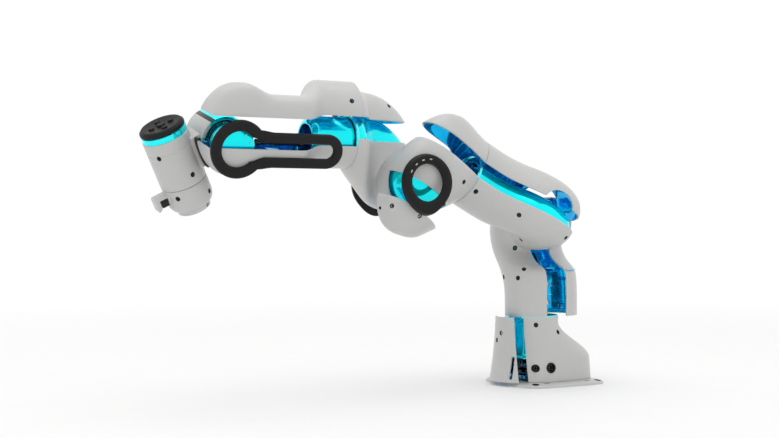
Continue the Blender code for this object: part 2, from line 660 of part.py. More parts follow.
def make_pilot():
    cap = turned_mesh("pilot_cap", ((POD_R - 0.001, PILOT_LOW), (POD_R - 0.001, PILOT_LOW + 0.005),
                                    (POD_R - 0.005, PILOT_HIGH)), "Z", (WRIST_X, 0, 0), 32)
    for name, x, y, radius in PILOT_BUTTONS:
        well = turned_mesh("well", ((radius + GAP, PILOT_HIGH - 0.0055), (radius + GAP, PILOT_HIGH + 0.01)),
                           "Z", (WRIST_X + x, y, 0), 16)
        cap = with_boolean("pilot_cap", cap, well, "DIFFERENCE")
        button = turned_mesh(name, ((radius, PILOT_HIGH - 0.0030), (radius, PILOT_HIGH + 0.0006),
                                    (radius - 0.001, PILOT_HIGH + 0.0012)), "Z", (x, y, 0), 16)
        add_mesh(name, button, pilot, DARK)
    add_mesh("pilot_cap", cap, axis_6, DARK)


# ---- tool mount, link 7 -------------------------------------------------------------------------
def make_tool_mount():
    housing = turned_mesh("tool_mount_housing", (
        (0.033, -0.0985), (0.039, -0.094), (0.0425, -0.085), (POD_R, -0.074), (POD_R, SEAM_7 - GAP)),
        "Z", (0, 0, 0), 32)
    nose = box_mesh("nose", (0.020, -0.017, -0.088), (0.066, 0.017, -0.056))
    slope = Matrix.Translation((0.066, 0, -0.088)) @ Matrix.Rotation(math.radians(40), 4, "Y")
    wedge = box_mesh("wedge", (-0.03, -0.05, -0.03), (0.03, 0.05, 0.006))
    wedge.transform(slope)
    nose = with_boolean("nose", nose, wedge, "DIFFERENCE")
    housing = with_boolean("tool_mount_housing", housing, nose, "UNION")
    bore = turned_mesh("bore", ((0.036, -0.070), (0.036, SEAM_7 + 0.01)), "Z", (0, 0, 0), 24)
    housing = with_boolean("tool_mount_housing", housing, bore, "DIFFERENCE")
    for side in (1, -1):
        middle = side * 0.0170
        well = box_mesh("well", (KEY_X[0] - 0.001, middle - 0.004, KEY_Z[0] - 0.001),
                        (KEY_X[1] + 0.001, middle + 0.004, KEY_Z[1] + 0.001))
        housing = with_boolean("tool_mount_housing", housing, well, "DIFFERENCE")
    add_mesh("tool_mount_housing", housing, axis_7, WHITE)
    add_mesh("joint_7_output", turned_mesh("joint_7_output", (
        (0.030, -0.068), (0.034, -0.066), (0.034, -0.055), (0.030, -0.0525))), axis_7, STEEL)
    flange = turned_mesh("tool_flange", ((0.0315, FLANGE_Z), (0.0315, -0.0990)), "Z", (0, 0, 0), 32)
    for i in range(4):
        angle = math.radians(45 + 90 * i)
        hole = turned_mesh("hole", ((TOOL_HOLE_R, -0.12), (TOOL_HOLE_R, -0.098)), "Z",
                           (TOOL_PCD / 2 * math.cos(angle), TOOL_PCD / 2 * math.sin(angle), 0), 12)
        flange = with_boolean("tool_flange", flange, hole, "DIFFERENCE")
    recess = turned_mesh("recess", ((CENTRING_R, FLANGE_Z - 0.01), (CENTRING_R, FLANGE_Z + 0.005)))
    flange = with_boolean("tool_flange", flange, recess, "DIFFERENCE")
    add_mesh("tool_flange", flange, axis_7, STEEL)
    for name, side in (("guiding_button_left", 1), ("guiding_button_right", -1)):
        low, high = sorted(side * depth for depth in KEY_DEPTH)
        button = box_mesh(name, (KEY_X[0], low, KEY_Z[0]), (KEY_X[1], high, KEY_Z[1]))
        add_mesh(name, button, axis_7, DARK)


make_base()
make_column()
make_upper_arm()
make_elbow_upper()
make_elbow_lower()
make_forearm()
make_wrist()
make_pilot()
make_tool_mount()
bpy.context.view_layer.update()
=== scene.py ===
"""Looks of the collaborative robot arm: fine shells, inner frames, actuators, keys and a light studio.

Every link is modelled in its own joint's frame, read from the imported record, with the same sections as
the CAD shells at a finer step.  Metres, +Z up, +X the way the arm reaches, +Y its left.
"""

import json
import math

import bmesh
import bpy
import numpy as np
from mathutils import Matrix, Vector


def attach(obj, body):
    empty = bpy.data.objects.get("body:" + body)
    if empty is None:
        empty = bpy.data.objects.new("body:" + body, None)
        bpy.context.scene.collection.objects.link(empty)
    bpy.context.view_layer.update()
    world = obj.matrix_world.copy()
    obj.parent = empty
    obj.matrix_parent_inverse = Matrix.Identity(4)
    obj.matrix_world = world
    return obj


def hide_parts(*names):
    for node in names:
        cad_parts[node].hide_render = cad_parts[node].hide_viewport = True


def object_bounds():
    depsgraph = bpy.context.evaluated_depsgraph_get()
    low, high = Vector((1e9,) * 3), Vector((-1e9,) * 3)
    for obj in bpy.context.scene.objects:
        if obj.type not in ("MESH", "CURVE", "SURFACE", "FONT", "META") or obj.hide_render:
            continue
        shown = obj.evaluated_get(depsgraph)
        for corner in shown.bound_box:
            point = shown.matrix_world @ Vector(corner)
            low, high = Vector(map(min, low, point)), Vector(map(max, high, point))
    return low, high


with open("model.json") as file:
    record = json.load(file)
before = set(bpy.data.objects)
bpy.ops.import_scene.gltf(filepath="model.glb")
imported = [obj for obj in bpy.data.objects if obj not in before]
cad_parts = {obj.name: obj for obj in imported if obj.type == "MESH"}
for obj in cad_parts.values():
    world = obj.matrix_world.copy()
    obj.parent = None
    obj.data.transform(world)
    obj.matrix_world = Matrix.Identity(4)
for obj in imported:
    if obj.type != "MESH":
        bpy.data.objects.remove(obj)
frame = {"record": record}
CAD_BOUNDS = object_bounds()
JOINTS = {joint["name"]: joint for joint in frame["record"]["behaviour"]["joints"]}

# ---- dimensions, as in the CAD ------------------------------------------------------------------
TUBE_R = 0.055
WALL = 0.003
GAP = 0.0004
SEAM_1 = 0.141
SHOULDER_Z = 0.333
SEAM_3 = 0.192
UPPER_ARM = 0.316
ELBOW_X = 0.0825
ELBOW_REACH = 0.84
SEAM_5 = 0.124
FOREARM = 0.390
WRIST_X = 0.088
SEAM_7 = -0.050
FLANGE_Z = -0.107
BASE_SPLIT_X = 0.044
FOOT_REAR, FOOT_FRONT, FOOT_HALF, FOOT_T = -0.137, 0.071, 0.095, 0.008
SLENDER_Y = 0.074
SLENDER_HALF_X = 0.036
SLENDER_HALF_Y = 0.029
J6_END_R = 0.055
POD_R = 0.043
POD_TOP = 0.045
UNDER_COVER_Y = 0.035
RING_NEAR, RING_FAR = 0.0975, 0.110
RING_R, RING_WINDOW_R = 0.0555, 0.036
BARREL_R = 0.046
ELBOW_FOLD = math.radians(28.5)
PILOT_LOW, PILOT_HIGH = 0.0574, 0.067
WRIST_BAND = (0.004, 0.013)   # a black band along X on joint 6's housing; white beyond it
MOTOR_R = 0.0335
SHUT_GAP = 0.0005       # what a cover's slide leaves open when it is shut
FOOT_HOLES_X, FOOT_HOLE_Y = (-0.112, 0.046), 0.078
FRAME_WALL = 0.0025
KEY_X, KEY_Z, KEY_DEPTH = (0.0440, 0.0580), (-0.0735, -0.0600), (0.0150, 0.0185)
TRIM_RING_MARKS = (118, 140, 162, 184)   # degrees round an elbow ring

# connector sockets: name, place along X, radius, how far out its face is
SOCKETS = (("network_socket", 0.030, 0.0075, 0.0585), ("power_socket", -0.003, 0.0105, 0.0665))
SOCKET_Z = 0.037

# pilot keys: name, place on the cap, radius
PILOT_KEYS = (("up", 0.019, 0.0, 0.0050), ("down", -0.019, 0.0, 0.0050), ("left", 0.0, 0.019, 0.0050),
              ("right", 0.0, -0.019, 0.0050), ("centre", 0.0, 0.0, 0.0075))

# fineness
AROUND = 72
BASE_AROUND = AROUND + 32
ROWS = 44
ROUND = 64


# ---- frames on the joints -----------------------------------------------------------------------
def basis(z_axis, y_axis, place):
    """The matrix of a frame from its Z and Y directions and its origin."""
    z = Vector(z_axis).normalized()
    y = Vector(y_axis).normalized()
    x = y.cross(z)
    matrix = Matrix((x, y, z)).transposed().to_4x4()
    matrix.translation = Vector(place)
    return matrix


def joint_axis(name):
    return Vector(JOINTS[name]["axis"])


LINK_0 = Matrix.Identity(4)
LINK_1 = LINK_0
LINK_2 = basis(joint_axis("joint_3"), joint_axis("joint_2"), JOINTS["joint_2"]["pos_m"])
LINK_3 = LINK_2
LINK_4 = basis(joint_axis("joint_5"), -joint_axis("joint_4"), JOINTS["joint_4"]["pos_m"])
LINK_5 = basis(joint_axis("joint_5"), -joint_axis("joint_6"), JOINTS["joint_5"]["pos_m"])
LINK_6 = basis(joint_axis("joint_7"), -joint_axis("joint_6"), JOINTS["joint_6"]["pos_m"])
LINK_7 = basis(joint_axis("joint_7"), -joint_axis("joint_6"), JOINTS["joint_7"]["pos_m"])


def stand_off(slide):
    """Where a cover's slide holds it: off its link by the slide's whole range and the gap left when shut."""
    joint = JOINTS[slide]
    return Matrix.Translation(Vector(joint["axis"]) * (SHUT_GAP - joint["range_m"][0]))


def link_stand_off(link, slide, way):
    """The same for a cover that slides along its link's X, forward (1) or back (-1)."""
    return link @ Matrix.Translation((way * (SHUT_GAP - JOINTS[slide]["range_m"][0]), 0, 0))


# ---- materials ----------------------------------------------------------------------------------
def noise(nodes, link, place, scale, detail):
    """A noise texture's value."""
    made = nodes.new("ShaderNodeTexNoise")
    made.inputs["Scale"].default_value = scale
    made.inputs["Detail"].default_value = detail
    link(place.outputs["Object"], made.inputs["Vector"])
    return made.outputs["Fac"]


def ramp(nodes, link, value, *stops):
    """A colour ramp between two stops, each (position, colour)."""
    made = nodes.new("ShaderNodeValToRGB")
    for element, (position, colour) in zip(made.color_ramp.elements, stops):
        element.position = position
        element.color = (*colour, 1)
    link(value, made.inputs["Fac"])
    return made.outputs["Color"]


def surface(name, colour, roughness, metallic=0.0, grain=900.0, grain_depth=0.02, vary=0.05,
            rough_vary=0.06, wear=None, coat=0.0, specular=0.5):
    """A Principled material with fine moulded grain, slow colour and gloss variation, and worn edges."""
    made = bpy.data.materials.new(name)
    made.use_nodes = True
    nodes = made.node_tree.nodes
    link = made.node_tree.links.new
    shader = nodes["Principled BSDF"]
    shader.inputs["Metallic"].default_value = metallic
    shader.inputs["Coat Weight"].default_value = coat
    shader.inputs["Coat Roughness"].default_value = 0.08
    shader.inputs["Specular IOR Level"].default_value = specular
    place = nodes.new("ShaderNodeTexCoord")
    darker = [c * (1 - vary) for c in colour]
    lighter = [min(1.0, c * (1 + vary * 0.5)) for c in colour]
    colour_out = ramp(nodes, link, noise(nodes, link, place, 14.0, 4.0), (0.30, darker), (0.70, lighter))
    if wear is not None:
        shape = nodes.new("ShaderNodeNewGeometry")
        worn = nodes.new("ShaderNodeMix")
        worn.data_type = "RGBA"
        worn.inputs["B"].default_value = (*wear, 1)
        edge = ramp(nodes, link, shape.outputs["Pointiness"], (0.54, (0, 0, 0)), (0.66, (0.6, 0.6, 0.6)))
        link(edge, worn.inputs["Factor"])
        link(colour_out, worn.inputs["A"])
        colour_out = worn.outputs["Result"]
    link(colour_out, shader.inputs["Base Color"])

    spread = nodes.new("ShaderNodeMapRange")
    spread.inputs["To Min"].default_value = max(0.02, roughness - rough_vary)
    spread.inputs["To Max"].default_value = roughness + rough_vary
    link(noise(nodes, link, place, 60.0, 6.0), spread.inputs["Value"])
    link(spread.outputs["Result"], shader.inputs["Roughness"])

    bump = nodes.new("ShaderNodeBump")
    bump.inputs["Strength"].default_value = grain_depth
    bump.inputs["Distance"].default_value = 0.0004
    link(noise(nodes, link, place, grain, 2.0), bump.inputs["Height"])
    link(bump.outputs["Normal"], shader.inputs["Normal"])
    return made


WHITE = surface("white_shell", (0.49, 0.49, 0.48), 0.36, grain=1400.0, grain_depth=0.05, vary=0.025,
                rough_vary=0.05, wear=(0.56, 0.56, 0.55), coat=0.05)
CYAN = surface("cyan_mirror", (0.0, 0.92, 1.0), 0.12, metallic=0.70, grain=320.0, grain_depth=0.06,
               vary=0.10, rough_vary=0.05, wear=(0.25, 0.95, 1.0))
BLUE = surface("blue_mirror", (0.0, 0.50, 1.0), 0.08, metallic=0.80, grain=260.0, grain_depth=0.08,
               vary=0.22, rough_vary=0.05, wear=(0.45, 0.75, 1.0))
DARK = surface("charcoal_trim", (0.016, 0.0155, 0.0155), 0.42, grain=1500.0, grain_depth=0.18, vary=0.12,
               wear=(0.035, 0.035, 0.035), specular=0.10)
BLACK = surface("black_cable", (0.008, 0.008, 0.009), 0.30, grain=700.0, grain_depth=0.25, vary=0.2,
                wear=(0.03, 0.03, 0.03))
STEEL = surface("machined_steel", (0.50, 0.51, 0.53), 0.18, metallic=1.0, grain=500.0, grain_depth=0.10,
                vary=0.08, wear=(0.75, 0.76, 0.78))
KEY = surface("key_rubber", (0.020, 0.0195, 0.020), 0.50, grain=1200.0, grain_depth=0.22, vary=0.10,
              wear=(0.04, 0.04, 0.04), specular=0.12)
BOARD = surface("circuit_board", (0.004, 0.05, 0.10), 0.30, grain=420.0, grain_depth=0.30, vary=0.5,
                wear=(0.10, 0.30, 0.45))
FLOOR = surface("pale_floor", (0.86, 0.86, 0.855), 0.65, grain=240.0, grain_depth=0.01, vary=0.008,
                specular=0.1)


def fade_to_white(made, near, far):
    """Fades a floor's material into plain white between two distances from the origin."""
    nodes = made.node_tree.nodes
    link = made.node_tree.links.new
    place = nodes.new("ShaderNodeTexCoord")
    reach = nodes.new("ShaderNodeVectorMath")
    reach.operation = "LENGTH"
    link(place.outputs["Object"], reach.inputs[0])
    share = nodes.new("ShaderNodeMapRange")
    share.interpolation_type = "SMOOTHSTEP"
    share.inputs["From Min"].default_value = near
    share.inputs["From Max"].default_value = far
    link(reach.outputs["Value"], share.inputs["Value"])
    glow = nodes.new("ShaderNodeEmission")
    glow.inputs["Strength"].default_value = 1.0
    both = nodes.new("ShaderNodeMixShader")
    link(share.outputs["Result"], both.inputs["Fac"])
    link(nodes["Principled BSDF"].outputs["BSDF"], both.inputs[1])
    link(glow.outputs["Emission"], both.inputs[2])
    link(both.outputs["Shader"], nodes["Material Output"].inputs["Surface"])


fade_to_white(FLOOR, 0.4, 3.2)


# ---- mesh helpers -------------------------------------------------------------------------------
def show(name, mesh, skin, frame_matrix, body, slot, *replaced):
    """A piece in its link's frame, riding on a CAD body and standing for the CAD nodes it replaces."""
    mesh.transform(frame_matrix)
    points = np.empty(len(mesh.vertices) * 3, np.float32)
    mesh.vertices.foreach_get("co", points)
    points = np.clip(points.reshape(-1, 3), CAD_BOUNDS[0], CAD_BOUNDS[1])
    mesh.vertices.foreach_set("co", points.astype(np.float32).ravel())
    made = bpy.data.objects.new(name, mesh)
    bpy.context.scene.collection.objects.link(made)
    if not mesh.materials:
        mesh.materials.append(skin)
    mesh.shade_smooth()
    mesh.set_sharp_from_angle(angle=math.radians(38.0))
    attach(made, body)
    if replaced:
        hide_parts(*replaced)


def to_mesh(bm, name):
    mesh = bpy.data.meshes.new(name)
    bm.to_mesh(mesh)
    bm.free()
    return mesh


def applied(mesh, name, kind, **settings):
    """The mesh with a modifier applied."""
    work = bpy.data.objects.new(name + "_work", mesh)
    bpy.context.scene.collection.objects.link(work)
    modifier = work.modifiers.new(kind.lower(), kind)
    for key, value in settings.items():
        setattr(modifier, key, value)
    bpy.context.view_layer.update()
    graph = bpy.context.evaluated_depsgraph_get()
    made = bpy.data.meshes.new_from_object(work.evaluated_get(graph))
    made.name = name
    bpy.data.objects.remove(work)
    return made


def boolean(mesh, name, cutter_mesh, operation="DIFFERENCE"):
    cutter = bpy.data.objects.new(name + "_cutter", cutter_mesh)
    bpy.context.scene.collection.objects.link(cutter)
    made = applied(mesh, name, "BOOLEAN", operation=operation, object=cutter, solver="EXACT",
                   material_mode="TRANSFER")
    bpy.data.objects.remove(cutter)
    return made


def bevelled(mesh, name, width, segments=3, angle=40.0):
    return applied(mesh, name, "BEVEL", width=width, segments=segments, limit_method="ANGLE",
                   angle_limit=math.radians(angle), harden_normals=False)


def lined(mesh, name, outside, thickness, **settings):
    """A wall from an open surface: one finish outside and on the rim, the blue mirror inside."""
    mesh.materials.append(outside)
    mesh.materials.append(BLUE)
    return applied(mesh, name, "SOLIDIFY", thickness=thickness, offset=-1.0, material_offset=1,
                   material_offset_rim=0, **settings)


def join_rings(bm, rings, closed=False):
    """Faces between neighbouring rings of vertices; the last joins the first where closed."""
    for low, high in zip(rings, rings[1:] + rings[:1] if closed else rings[1:]):
        for i in range(len(low)):
            j = (i + 1) % len(low)
            bm.faces.new((low[i], low[j], high[j], high[i]))


def squared(value, power):
    """A cosine or sine bent towards a rounded rectangle."""
    return math.copysign(abs(value) ** power, value)


def facing(place):
    """The matrix that stands +Z of a small shape along a place's outward direction."""
    point, outward = place
    turn = Vector((0, 0, 1)).rotation_difference(outward).to_matrix().to_4x4()
    return Matrix.Translation(point) @ turn


TURN_TO = {"Z": Matrix.Identity(4),
           "Y": Matrix.Rotation(math.radians(-90), 4, "X"),
           "X": Matrix.Rotation(math.radians(90), 4, "Y")}


class Pieces:
    """Gathers small shapes of one finish into a mesh."""

    def __init__(self):
        self.bm = bmesh.new()

    def add(self, part, matrix=None):
        if matrix is not None:
            bmesh.ops.transform(part, matrix=matrix, verts=part.verts)
        bmesh.ops.recalc_face_normals(part, faces=part.faces)
        holder = bpy.data.meshes.new("holder")
        part.to_mesh(holder)
        part.free()
        self.bm.from_mesh(holder)
        bpy.data.meshes.remove(holder)

    def box(self, low, high, bevel=0.0006, matrix=None):
        part = bmesh.new()
        low, high = Vector(low), Vector(high)
        shape = Matrix.Translation((low + high) / 2) @ Matrix.Diagonal((*(high - low), 1))
        bmesh.ops.create_cube(part, size=1.0, matrix=shape)
        if bevel:
            bmesh.ops.bevel(part, geom=part.edges[:], offset=bevel, segments=2, affect="EDGES", profile=0.5)
        self.add(part, matrix)

    def turned(self, profile, axis="Z", centre=(0, 0, 0), around=ROUND, closed=False, matrix=None):
        """Spins (radius, height) points about an axis; a closed profile is a ring."""
        part = bmesh.new()
        corners = [part.verts.new((radius, 0, height)) for radius, height in profile]
        pairs = list(zip(corners, corners[1:]))
        if closed:
            pairs.append((corners[-1], corners[0]))
        edges = [part.edges.new(pair) for pair in pairs]
        bmesh.ops.spin(part, geom=corners + edges, cent=(0, 0, 0), axis=(0, 0, 1), angle=2 * math.pi,
                       steps=around, use_merge=True)
        if not closed:
            bmesh.ops.holes_fill(part, edges=part.edges, sides=0)
        place = Matrix.Translation(centre) @ TURN_TO[axis]
        self.add(part, matrix @ place if matrix is not None else place)

    def pipe(self, path, radius, sides=12, steps=6):
        """A round cable along a smooth curve through the path's points."""
        curve = bpy.data.curves.new("pipe", "CURVE")
        curve.dimensions = "3D"
        curve.bevel_depth = radius
        curve.bevel_resolution = max(1, sides // 4)
        curve.use_fill_caps = True
        line = curve.splines.new("POLY")
        points = [Vector(point[:3]) for point in smooth_rows(path, (len(path) - 1) * steps + 1)]
        line.points.add(len(points) - 1)
        for knot, point in zip(line.points, points):
            knot.co = (*point, 1)
        holder = bpy.data.objects.new("pipe", curve)
        bpy.context.scene.collection.objects.link(holder)
        bpy.context.view_layer.update()
        graph = bpy.context.evaluated_depsgraph_get()
        mesh = bpy.data.meshes.new_from_object(holder.evaluated_get(graph))
        bpy.data.objects.remove(holder)
        part = bmesh.new()
        part.from_mesh(mesh)
        bmesh.ops.remove_doubles(part, verts=part.verts, dist=1e-6)
        self.add(part)

    def mesh(self, name, skin=None):
        mesh = to_mesh(self.bm, name)
        if skin is not None:
            mesh.materials.append(skin)
        return mesh

    def show(self, name, *where):
        show(name, self.mesh(name), *where)


def smooth_rows(rows, count):
    """Rows of control values, resampled by a Catmull-Rom curve to count rows."""
    values = np.array([list(row) for row in rows], float)
    padded = np.vstack([2 * values[0] - values[1], values, 2 * values[-1] - values[-2]])
    found = []
    for place in np.linspace(0, len(values) - 1, count):
        k = min(int(place), len(values) - 2)
        t = place - k
        a, b, c, d = padded[k:k + 4]
        found.append(0.5 * (2 * b + (c - a) * t + (2 * a - 5 * b + 4 * c - d) * t * t
                            + (3 * b - a - 3 * c + d) * t ** 3))
    return found


def ease(value, low, high):
    t = min(1.0, max(0.0, (value - low) / (high - low)))
    return t * t * (3 - 2 * t)


def surface_through(rings, close_end=False):
    """An open surface through rings of points, its faces turned outward."""
    bm = bmesh.new()
    rows = [[bm.verts.new(point) for point in ring] for ring in rings]
    join_rings(bm, rows)
    caps = [bm.faces.new(rows[0]), bm.faces.new(rows[-1])]
    bmesh.ops.recalc_face_normals(bm, faces=bm.faces)
    if bm.calc_volume(signed=True) < 0:
        bmesh.ops.reverse_faces(bm, faces=bm.faces)
    drop = caps[:1] if close_end else caps
    bmesh.ops.delete(bm, geom=drop, context="FACES_ONLY")
    return bm


def keep_side(bm, point, outward):
    """Cuts the surface at a plane and keeps the side that outward points away from."""
    geometry = bm.verts[:] + bm.edges[:] + bm.faces[:]
    bmesh.ops.bisect_plane(bm, geom=geometry, plane_co=point, plane_no=outward, clear_outer=True)


def shell_mesh(bm, name, holes=None):
    """A moulded shell: white outside and on its rim, mirror finish inside, with its screw holes cut."""
    mesh = lined(to_mesh(bm, name), name, WHITE, WALL, use_even_offset=True)
    if holes is not None:
        mesh = boolean(mesh, name, holes)
    return bevelled(mesh, name, 0.0007, 2, 50.0)


def holes_at(places):
    """Stepped screw holes: each place is (point on the skin, direction out of it)."""
    cut = Pieces()
    for place in places:
        cut.turned(((0.0030, -0.012), (0.0030, -0.0018), (0.0052, 0.0002), (0.0052, 0.006)), around=24,
                   matrix=facing(place))
    return cut.mesh("holes", BLACK)


def screws_at(name, places, frame_matrix, body, depth=0.0030):
    """Dark socket screws sunk in the shell's holes."""
    heads = Pieces()
    for place in places:
        matrix = facing(place)
        heads.turned(((0.0010, -depth - 0.0012), (0.0014, -depth - 0.0012), (0.0014, -depth),
                      (0.0026, -depth - 0.0003), (0.0026, -depth - 0.004), (0.0010, -depth - 0.004)),
                     around=18, matrix=matrix, closed=True)
        heads.turned(((0.0026, -depth - 0.0060), (0.0026, -depth - 0.0038)), around=18, matrix=matrix)
    heads.show(name, BLACK, frame_matrix, body, "dark_trim")


# ---- link shells --------------------------------------------------------------------------------
def bend_rows(reach, seam_height, offset):
    """Control rows (inner side, inner height, outer side, outer height, middle x, half x)."""
    fan = (
        (0, 0.000, 0.0780, 0.0240, 0.1330, 1.00, 0.0550),
        (15, -0.004, 0.0780, 0.0240, 0.1375, 0.847, 0.0659),
        (30, -0.009, 0.0790, 0.0240, 0.1500, 0.663, 0.0807),
        (45, -0.016, 0.0810, 0.0240, 0.1630, 0.548, 0.0892),
        (60, -0.027, 0.0840, 0.0240, 0.1610, 0.462, 0.0911),
        (75, -0.045, 0.0890, 0.0240, 0.1530, 0.366, 0.0852),
    )
    rows = []
    for degrees, side, height, near, far, share, half in fan:
        across = Vector((math.sin(math.radians(degrees)), -math.cos(math.radians(degrees))))
        pivot = Vector((side, height))
        inner = pivot + across * near
        outer = pivot + across * far
        outer.x *= reach
        half_x = half if offset else TUBE_R
        rows.append((inner.x, inner.y, outer.x, outer.y, offset * share, half_x))
    neck = 0.0985
    rows.append((-0.050, neck, 0.074 * min(1.0, reach + 0.08), neck, offset * 0.17,
                 0.0695 if offset else TUBE_R))
    if seam_height > 0.15:
        rows.append((-TUBE_R, 0.135, 0.058, 0.135, 0.0, TUBE_R))
    rows.append((-TUBE_R, seam_height, TUBE_R, seam_height, 0.0, TUBE_R))
    return rows


def bend_rings(rows, place, inset=0.0, flatten=1.0, split=0.0):
    """Rings on the rows' ellipses; flatten squeezes what lies behind the split."""
    rings = []
    for inner_s, inner_h, outer_s, outer_h, middle_x, half_x in smooth_rows(rows, ROWS):
        inner, outer = Vector((inner_s, inner_h)), Vector((outer_s, outer_h))
        middle = (inner + outer) / 2
        arm = (outer - inner) / 2
        arm *= 1 - inset / arm.length
        ring = []
        for i in range(AROUND):
            angle = 2 * math.pi * (i + 0.5) / AROUND
            point = middle + arm * math.cos(angle)
            x = middle_x + (half_x - inset) * math.sin(angle)
            if x < split:
                x = split + (x - split) * flatten
            ring.append(place(x, point.x, point.y))
        rings.append(ring)
    return rings


def column_place(x, side, height):
    return Vector((x, -side - GAP, SHOULDER_Z - height))


def upper_place(x, side, height):
    return Vector((x, side + GAP, height))


def elbow_upper_place(x, side, height):
    return Vector((x, side + GAP, UPPER_ARM - height))


def elbow_lower_place(x, side, height):
    return Vector((x - ELBOW_X, -side - GAP, height))


def seam_band(name, radius, low, high, frame_matrix, body, centre=(0, 0, 0)):
    """The bright joint ring that shows between two links."""
    band = Pieces()
    band.turned(((radius - 0.004, low), (radius, low), (radius, high), (radius - 0.004, high)),
                centre=centre, closed=True, around=96)
    band.show(name, CYAN, frame_matrix, body, "cyan_chassis")


def side_hole(x, y, z, towards):
    return (Vector((x, y, z)), Vector(towards))


def tube_hole(z, degrees, radius=TUBE_R):
    """A screw hole on a straight tube at a height and an angle from +Y towards +X."""
    angle = math.radians(degrees)
    outward = Vector((math.sin(angle), math.cos(angle), 0))
    return (outward * radius + Vector((0, 0, z)), outward)


def inner_frame(name, rings, frame_matrix, body, node):
    """A link's cyan frame: a thin tube through the rings, blue inside."""
    mesh = lined(to_mesh(surface_through(rings), name), name, CYAN, FRAME_WALL)
    show(name, bevelled(mesh, name, 0.0005, 2, 50.0), CYAN, frame_matrix, body, "cyan_chassis", node)


def actuator(name, motor_node, profile_r, low, high, axis, centre, frame_matrix, body, skin=BLUE):
    """A drive: a ribbed housing with a circle of bolts on each end."""
    step = (high - low) / 9
    profile = [(profile_r * 0.72, low), (profile_r * 0.95, low + 0.0012)]
    for i in range(4):
        z = low + 0.004 + i * step * 1.6
        profile += [(profile_r, z), (profile_r, z + step * 0.8), (profile_r * 0.93, z + step * 0.9),
                    (profile_r * 0.93, z + step * 1.5)]
    profile += [(profile_r, high - step), (profile_r, high - 0.001), (profile_r * 0.9, high)]
    housing = Pieces()
    housing.turned(profile, axis, centre)
    housing.show(name, skin, frame_matrix, body, "blue_actuator", motor_node)

    bolts = Pieces()
    turn = Matrix.Translation(centre) @ TURN_TO[axis]
    for i in range(10):
        angle = 2 * math.pi * i / 10
        spot = (profile_r * 0.80 * math.cos(angle), profile_r * 0.80 * math.sin(angle), 0)
        for z, outward in ((low, -1), (high, 1)):
            matrix = turn @ Matrix.Translation((spot[0], spot[1], z))
            bolts.turned(((0.0016, -0.0006), (0.0016, 0.0008 * outward), (0.0012, 0.0012 * outward)),
                         around=14, matrix=matrix)
    bolts.show(name + "_bolts", STEEL, frame_matrix, body, "steel_drive")


def cut_behind(mesh, x):
    """Keeps what lies behind a plane across X and closes the cut."""
    bm = bmesh.new()
    bm.from_mesh(mesh)
    geometry = bm.verts[:] + bm.edges[:] + bm.faces[:]
    bmesh.ops.bisect_plane(bm, geom=geometry, plane_co=(x, 0, 0), plane_no=(1, 0, 0), clear_outer=True)
    bmesh.ops.holes_fill(bm, edges=bm.edges, sides=0)
    return to_mesh(bm, mesh.name)


# ---- base ---------------------------------------------------------------------------------------
def base_outline(z):
    foot = max(0.0, 1 - z / SEAM_1)
    front = TUBE_R + 0.015 * foot ** 2
    swell = 1 - ease(z, 0.052, 0.128)
    rear = TUBE_R + (0.071 + 0.008 * foot) * swell
    half = TUBE_R + 0.012 * foot
    power = 2.0 + 1.2 * swell
    ring = []
    for i in range(BASE_AROUND):
        angle = 2 * math.pi * (i + 0.5) / BASE_AROUND
        c, s = math.cos(angle), math.sin(angle)
        if c > 0:
            ring.append(Vector((front * c, half * s, z)))
        else:
            ring.append(Vector((rear * -abs(c) ** (2 / power),
                                half * squared(s, 2 / power), z)))
    return ring


def base_skin():
    low, high = FOOT_T + GAP, SEAM_1 - GAP
    return surface_through([base_outline(low + (high - low) * i / 40) for i in range(41)])


def make_base_shells():
    bm = base_skin()
    keep_side(bm, (BASE_SPLIT_X, 0, 0), (1, 0, 0))
    cut = Pieces()
    for _, x, radius, _ in SOCKETS:
        cut.turned(((radius + GAP, 0.045), (radius + GAP, 0.085)), "Y", (x, 0, SOCKET_Z))
    places = [side_hole(0.0249, 0.0502, 0.1251, (0.47, 0.88, 0.07)),
              side_hole(-0.0287, 0.0533, 0.1088, (-0.34, 0.89, 0.31)),
              side_hole(0.0249, -0.0502, 0.1251, (0.47, -0.88, 0.07)),
              side_hole(-0.0287, -0.0533, 0.1088, (-0.34, -0.89, 0.31))]
    holes = cut.mesh("base_holes", BLACK)
    mesh = boolean(shell_mesh(bm, "rear_housing", holes), "rear_housing", holes_at(places))
    show("rear_housing", mesh, None, LINK_0, "base", "white_housing", "base_rear_shell")
    screws_at("rear_housing_screws", places, LINK_0, "base")

    bm = base_skin()
    keep_side(bm, (BASE_SPLIT_X, 0, 0), (-1, 0, 0))
    slots = Pieces()
    for y in (-0.036, 0.036):
        slots.box((0.030, y - 0.0035, 0.014), (0.10, y + 0.0035, 0.062), 0.003)
    places = [side_hole(0.0557, 0.0040, 0.1077, (1.0, 0.06, 0.05)),
              side_hole(0.0559, -0.0101, 0.0922, (0.98, -0.17, 0.07))]
    mesh = boolean(shell_mesh(bm, "front_cover", slots.mesh("slots")), "front_cover", holes_at(places))
    show("front_cover_shell", mesh, None, stand_off("base_front_cover_slide"), "front_cover", "white_cover",
         "base_front_cover")
    screws_at("front_cover_screws", places, stand_off("base_front_cover_slide"), "front_cover")
    seam_band("seam_ring_1", TUBE_R - 0.001, SEAM_1 - 0.003, SEAM_1 + 0.002, LINK_0, "base")


